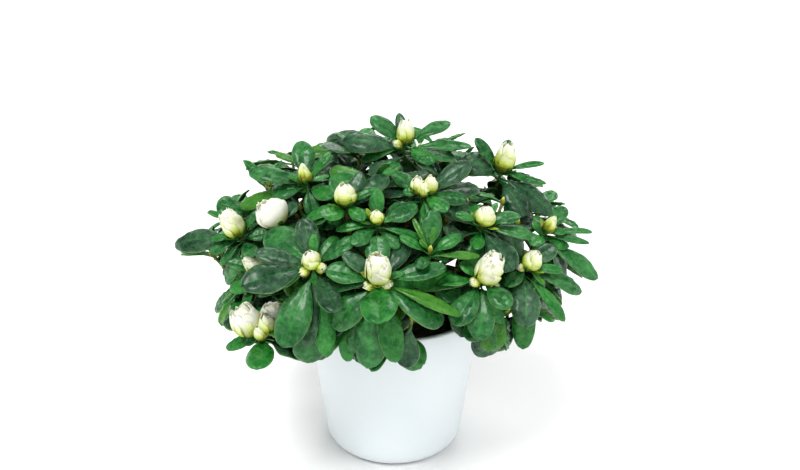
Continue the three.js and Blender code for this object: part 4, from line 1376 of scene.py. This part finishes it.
def tone_of(shoot, leaf, rank):
    places = OUTER_TONES
    if shoot["kind"] == "inner":
        places = [(2, INNER_TONES)]
    elif shoot["flower"] == "none":
        places = [TUFT_TONES, *OUTER_TONES]
    tones = next(tones for end, tones in places if leaf["low"] < end)
    return next(tone for tone, luck in tones if chance(shoot["number"], rank, 20) < luck)


def build_leaves():
    pieces = [Piece("leaves_" + grown["name"]) for grown in masses]
    for shoot, rows in zip(shoots, SHOWN_LEAVES):
        for i, (*place, width, letter) in enumerate(rows):
            leaf = place_shown_leaf(shoot, i / (len(rows) - 1), place, width)
            if leaf:
                shoot["bare"] = 0
                add_leaf(pieces[shoot["mass"]], leaf, TONE_LETTERS[letter], "outer")
    for rank in range(max(LEAVES.values())):
        for grown, piece in zip(masses, pieces):
            for shoot in grown["own"]:
                count = LEAVES[shoot["kind"]]
                leaf = place_leaf(shoot, rank, count) if rank < count else None
                if leaf:
                    shoot["bare"] = min(shoot["bare"], (leaf["root"] - shoot["tip"]) @ -shoot["axis"])
                    add_leaf(piece, leaf, tone_of(shoot, leaf, rank), shoot["kind"])
    for piece in pieces:
        piece.make(LEAF_MATERIALS, "foliage", piece.name.replace("leaves", "foliage"))


# Flowers
def flower_frame(axis, spin):
    across = spun(unit(np.cross(axis, ASIDE["flower"])), axis, spin)
    return np.stack([across, np.cross(axis, across), axis])


def petal_pattern(rows, columns):
    """The outer quads of a petal, then the inner ones, which share its edge."""
    outer = np.arange(rows * columns).reshape(rows, columns)
    inner = outer.copy()
    inside = (rows - 2) * (columns - 2)
    inner[1:-1, 1:-1] = rows * columns + np.arange(inside).reshape(rows - 2, columns - 2)
    return np.concatenate([sheet_quads(outer), sheet_quads(inner[:, ::-1])])


PETAL_PATTERNS = {grade: petal_pattern(rows, len(PETAL_COLUMNS[grade])) for grade, rows in PETAL_ROWS.items()}


def add_petal(piece, origin, axes, shape, grade, seed):
    """One petal, a curved thin blade that wraps round the flower's axis. v runs from 0 at its foot to 1
    at its edge, and u from -1 to 1 across it."""
    faces = PETAL_PATTERNS[grade]
    levels = np.linspace(0, 1, PETAL_ROWS[grade]) ** PETAL_CROWDING
    v, u = np.meshgrid(levels, PETAL_COLUMNS[grade], indexing="ij")
    widest, top = shape["widest"], shape["top"]
    rising = PETAL_BASE + (1 - PETAL_BASE) * np.sin(np.pi / 2 * np.clip(v / widest, 0, 1))
    falling = 1 - (1 - top) * np.clip((v - widest) / (1 - widest), 0, 1) ** 2
    edge = np.clip((v - PETAL_EDGE) / (1 - PETAL_EDGE), 0, 1)
    waves = np.sin(shape["waves"] * u * np.pi + phase(seed, 1, 30))
    radius = shape["radius"] * (
        rising * falling + shape["curl"] * edge**2 + shape["ruffle"] * waves * edge**1.5
    )
    overlap = PETAL_OVERLAP * (u + 1) * np.clip(OVERLAP_GROWS * v, 0, 1)
    radius = radius + overlap * np.clip(shape["radius"] / OVERLAP_RADIUS, 0, 1)
    outline = mix(PETAL_FOOT["width"], 1, np.clip(v / PETAL_FOOT["height"], 0, 1))
    outline = outline * np.sqrt(1 - PETAL_TIP_ROUND * edge**2)
    turn = shape["turn"] + u * shape["wrap"] * outline
    teeth = shape["ruffle"] * TEETH["depth"] * np.cos(
        TEETH["waves"] * shape["waves"] * u + phase(seed, 2, 30)
    )
    height = shape["height"] * (v - PETAL_SIDE_DROP * edge * u**2 + teeth * edge**3)
    local = np.stack([radius * np.cos(turn), radius * np.sin(turn), height], -1)
    outward = np.stack([np.cos(turn), np.sin(turn), np.full_like(turn, PETAL_SINK)], -1)
    under = (local - PETAL_THICKNESS * outward)[1:-1, 1:-1]
    points = np.concatenate([local.reshape(-1, 3), under.reshape(-1, 3)]) @ axes + origin
    heights, sides = (np.concatenate([a.ravel(), a[1:-1, 1:-1].ravel()])[faces] for a in (v, u))
    heights = heights.mean(1)
    # Painted shade: greener, darker tones towards the sides, where the petals overlap.
    seam_shade = SEAM_SHADE * (sides**2).mean(1) * np.clip(SEAM_SHADE_ENDS - heights, 0, 1)
    shake = TONE_SHAKE["height"] * np.sin(TONE_SHAKE["waves"] * sides.mean(1) + phase(seed, 3, 31))
    inner_face = np.arange(len(faces)) >= len(faces) // 2
    tone = TONE_STEPS * (heights + shake) - shape["green"] - seam_shade - INNER_GREEN * inner_face
    piece.add(points, {4: faces}, {4: np.clip(np.round(tone), 0, LAST_TONE).astype(int)})


def add_heart(piece, origin, axes, radius, height, widest, green, grade, seed):
    """The petals that are still rolled up: a closed body with twisted, crimped ridges."""
    sides = HEART_SIDES[grade]
    v = np.linspace(HEART_FROM, 1, HEART_RINGS[grade] + 1)[:-1]
    across = radius * np.sqrt(bulge(v, widest + HEART_HIGHER).clip(HEART_NARROWEST))
    points, faces = lathe([(0, 0), *zip(across, v * height), (0, height)], sides)
    turn = np.arctan2(points[:, 1], points[:, 0])
    share = points[:, 2] / height
    start = phase(seed, 9, 32)
    ridges = (deep * np.sin(count * turn + twist * share + start) for count, twist, deep in HEART_RIDGES)
    swell = 1 + share**2 * sum(ridges)
    high = np.clip(HEART_LIFT["grows"] * share - HEART_LIFT["below"], 0, 1)
    lift = 1 + HEART_LIFT["depth"] * high * np.sin(HEART_LIFT["waves"] * turn + start)
    points = points * np.stack([swell, swell, lift], 1)
    tone = np.clip(np.round(TONE_STEPS * np.repeat(v[:-1], sides) - green), 1, LAST_TONE)
    piece.add(points @ axes + origin, faces, {3: np.repeat([0, LAST_TONE], sides), 4: tone.astype(int)})


def add_bloom(piece, kind, origin, axis, size, seed):
    """A bud or flower of one kind, whose foot is at origin."""
    height, radius, widest, green, heart, layers = FLOWERS[kind]
    height, radius = size * height, size * radius
    axes = flower_frame(axis, phase(seed, 0, 32))
    grade = "coarse" if radius < SMALL_BLOOM else "fine"
    add_heart(piece, origin, axes, radius * heart[0], height * heart[1], widest, green, grade, seed)
    for level, (count, wrap, radius_share, height_share, top, curl, ruffle) in enumerate(layers):
        for k in range(count):
            petal_seed = seed * 31 + level * 7 + k
            luck = {
                name: most * either(petal_seed, i, 33) for i, (name, most) in enumerate(PETAL_LUCK.items())
            }
            add_petal(piece, origin, axes, {
                "turn": 2 * math.pi * (k + 0.5 * level) / count + luck["turn"],
                "wrap": math.radians(wrap) * (1 + luck["wrap"]),
                "radius": radius * radius_share * (1 + luck["radius"]),
                "height": height * height_share * (1 + luck["height"]),
                "widest": widest, "top": top, "curl": curl, "ruffle": ruffle,
                "waves": PETAL_WAVES + chance(petal_seed, 4, 33), "green": green,
            }, grade, petal_seed)


def add_bracts(piece, number, origin, axis, size, count):
    """Small pointed scales that clasp a flower's foot."""
    axes = flower_frame(axis, 1.0)
    for k in range(count):
        turn = 2 * math.pi * (k + BRACT_LUCK * either(number, k, 40)) / count
        around = turned(axes[0], axes[1], turn)
        ahead = unit(axis * mix(*BRACT_RISE, chance(number, k, 41)) + around)
        length = size * mix(*BRACT_LENGTH, chance(number, k, 42))
        add_leaf(piece, {
            **BRACT_FORM, "root": origin - axis * BRACT_SEAT + around, "ahead": ahead,
            "face": square_to(axis, ahead), "length": length, "width": BRACT_PROPORTION * length,
        }, "scale" if k % 2 else "young", "bract")


def rough_bloom(shoot):
    """A plain stand-in for a flower, to test for room."""
    kind, axis = shoot["flower"], shoot["axis"]
    height, radius, widest = CLUSTERS[kind][0] if kind in CLUSTERS else FLOWERS[kind][:3]
    shares = np.linspace(ROUGH_BLOOM["from"], 1, ROUGH_BLOOM["rings"])
    across = radius * np.interp(shares, [0, widest, 1], [ROUGH_BLOOM["foot"], 1, ROUGH_BLOOM["top"]])
    profile = [(0, -1), *zip(across, shares * height), (0, height)]
    points, faces = lathe([(r * shoot["size"], z * shoot["size"]) for r, z in profile], ROUGH_BLOOM["sides"])
    return points @ flower_frame(axis, 0) + (shoot["tip"] - FLOWER_SEAT * axis), faces


def add_side_buds(petals, shoot, origin):
    number, axis = shoot["number"], shoot["axis"]
    axes = flower_frame(axis, 0)
    for k in range(shoot["side_buds"]):
        if number < len(SHOWN_SHOOTS):
            around = square_to(np.array([SIDE_BUD_WAYS[k], 0, 0]) + CAMERA_BACK, axis)
        else:
            turn = SIDE_BUD_TURN * k + phase(number, k, 50)
            around = turned(axes[0], axes[1], turn)
        bud_axis = unit((SIDE_BUD_RISE[0] + SIDE_BUD_RISE[1] * k) * axis + around)
        bud_size = mix(*SIDE_BUD_SIZE, chance(number, k, 51))
        foot = origin + SIDE_BUD_OUT * around - axis
        add_bloom(petals, "side", foot, bud_axis, bud_size, 90 * number + k)


def add_flower(petals, bracts, shoot):
    number, axis, kind, size = shoot["number"], shoot["axis"], shoot["flower"], shoot["size"]
    origin = shoot_end(shoot) - FLOWER_SEAT * axis
    if kind in LEAFY_ENDS:
        add_bloom(petals, "tip", origin, axis, 1.0, number)
        return
    if kind in CLUSTERS:
        for k, (lobe, share, foot, lean) in enumerate(CLUSTERS[kind][1]):
            place = origin + size * np.array(foot)
            add_bloom(petals, lobe, place, unit(axis + lean), size * share, 7 * number + k)
    else:
        add_bloom(petals, kind, origin, axis, size, number)
    add_bracts(bracts, number, origin, axis, min(1, size), BRACTS.get(kind, FEW_BRACTS))
    add_side_buds(petals, shoot, origin)


def build_flowers(side, group):
    petals = Piece("blossom_" + side)
    bracts = Piece("bracts_" + side)
    for grown in group:
        for shoot in grown["own"]:
            add_flower(petals, bracts, shoot)
    petals.make(PETAL_MATERIALS, "foliage")
    bracts.make(LEAF_MATERIALS, "foliage")


# Growing the plant
shoots = shoot_list()
masses = [grow_mass(mass) for mass in range(len(MASSES))]
space = Space()
front = Front()


def keep_room():
    """Flowers and twigs take their room before any leaf does."""
    for shoot in shoots:
        if shoot["flower"] not in LEAFY_ENDS:
            points, faces = rough_bloom(shoot)
            space.keep(shoot["number"], points, faces)
            if shoot["number"] < len(SHOWN_LEAVES):
                front.keep(points)
    for grown in masses:
        for shoot, path in grown["twigs"]:
            space.keep(shoot["number"], *tube(path, [TWIG_RADII["outer"][0]] * len(path), 4))


keep_room()
build_pot()
build_peat()
build_stem()
for seed_now, grown_now in enumerate(masses, BARK_SEEDS["boughs"]):
    if grown_now["curve"]:
        build_bough(grown_now, seed_now)
build_leaves()
halves = {
    "upper": [grown for grown in masses if not grown["name"].startswith("lower")],
    "lower": [grown for grown in masses if grown["name"].startswith("lower")],
}
for side_now, group_now in halves.items():
    build_twigs("twigs_" + side_now, group_now)
for side_now, group_now in halves.items():
    build_flowers(side_now, group_now)


# Stage, light and camera
def build_floor():
    """A pale sweep: flat round the pot, and rising far off on every side."""
    turns = np.radians(range(FLOOR_STEP, 91, FLOOR_STEP))
    rise = [(FLOOR_FLAT + FLOOR_RISE * math.sin(t), FLOOR_RISE * (1 - math.cos(t))) for t in turns]
    points, faces = lathe([(0, 0), (1000, 0), (FLOOR_FLAT, 0), *rise, (0, 0)], FLOOR_SIDES)
    middle = [face.tolist() for face in faces[3][:FLOOR_SIDES, ::-1]]
    mesh = bpy.data.meshes.new("pale_floor")
    mesh.from_pydata((points[:-1] * MM).tolist(), [], middle + faces[4][:, ::-1].tolist())
    mesh.polygons.foreach_set("use_smooth", [True] * len(mesh.polygons))
    floor = bpy.data.objects.new("pale_floor", mesh)
    bpy.context.scene.collection.objects.link(floor)
    mesh.materials.append(material_of("Pale floor", SILK, {
        "Ground": (0.97, 0.97, 0.97), "Shade": (0.95, 0.95, 0.95), "Scale": 2.0,
    }, 0.0))


def hang(name, data, place, back):
    """Hangs a light or the camera at a place, turned away from `back`."""
    holder = bpy.data.objects.new(name, data)
    holder.location = place
    holder.rotation_mode = "QUATERNION"
    holder.rotation_quaternion = Vector(back).to_track_quat("Z", "Y")
    bpy.context.scene.collection.objects.link(holder)
    return holder


def add_sun(name, azimuth, rise, strength, width):
    """Even soft light from one side. width, in degrees, is how soft its shadows are."""
    light = bpy.data.lights.new(name, "SUN")
    light.energy = strength
    light.angle = math.radians(width)
    way = direction(azimuth, rise)
    hang(name, light, way, way)


def set_world():
    world = bpy.data.worlds.new("Studio")
    world.use_nodes = True
    background = world.node_tree.nodes["Background"]
    background.inputs["Color"].default_value = (1, 1, 1, 1)
    background.inputs["Strength"].default_value = WORLD_LIGHT
    bpy.context.scene.world = world


def add_camera():
    camera = bpy.data.cameras.new("camera")
    camera.sensor_width = SENSOR_WIDTH
    camera.lens = FOCAL_PIXELS / PICTURE_WIDTH * SENSOR_WIDTH
    camera.clip_start, camera.clip_end = CAMERA_SIGHT
    bpy.context.scene.camera = hang("camera", camera, CAMERA_PLACE * MM, CAMERA_BACK)


build_floor()
for sun_name, sun in SUNS.items():
    add_sun(sun_name, *sun)
set_world()
bpy.context.scene.view_settings.view_transform = "Standard"
bpy.context.scene.view_settings.look = "Medium High Contrast"
add_camera()
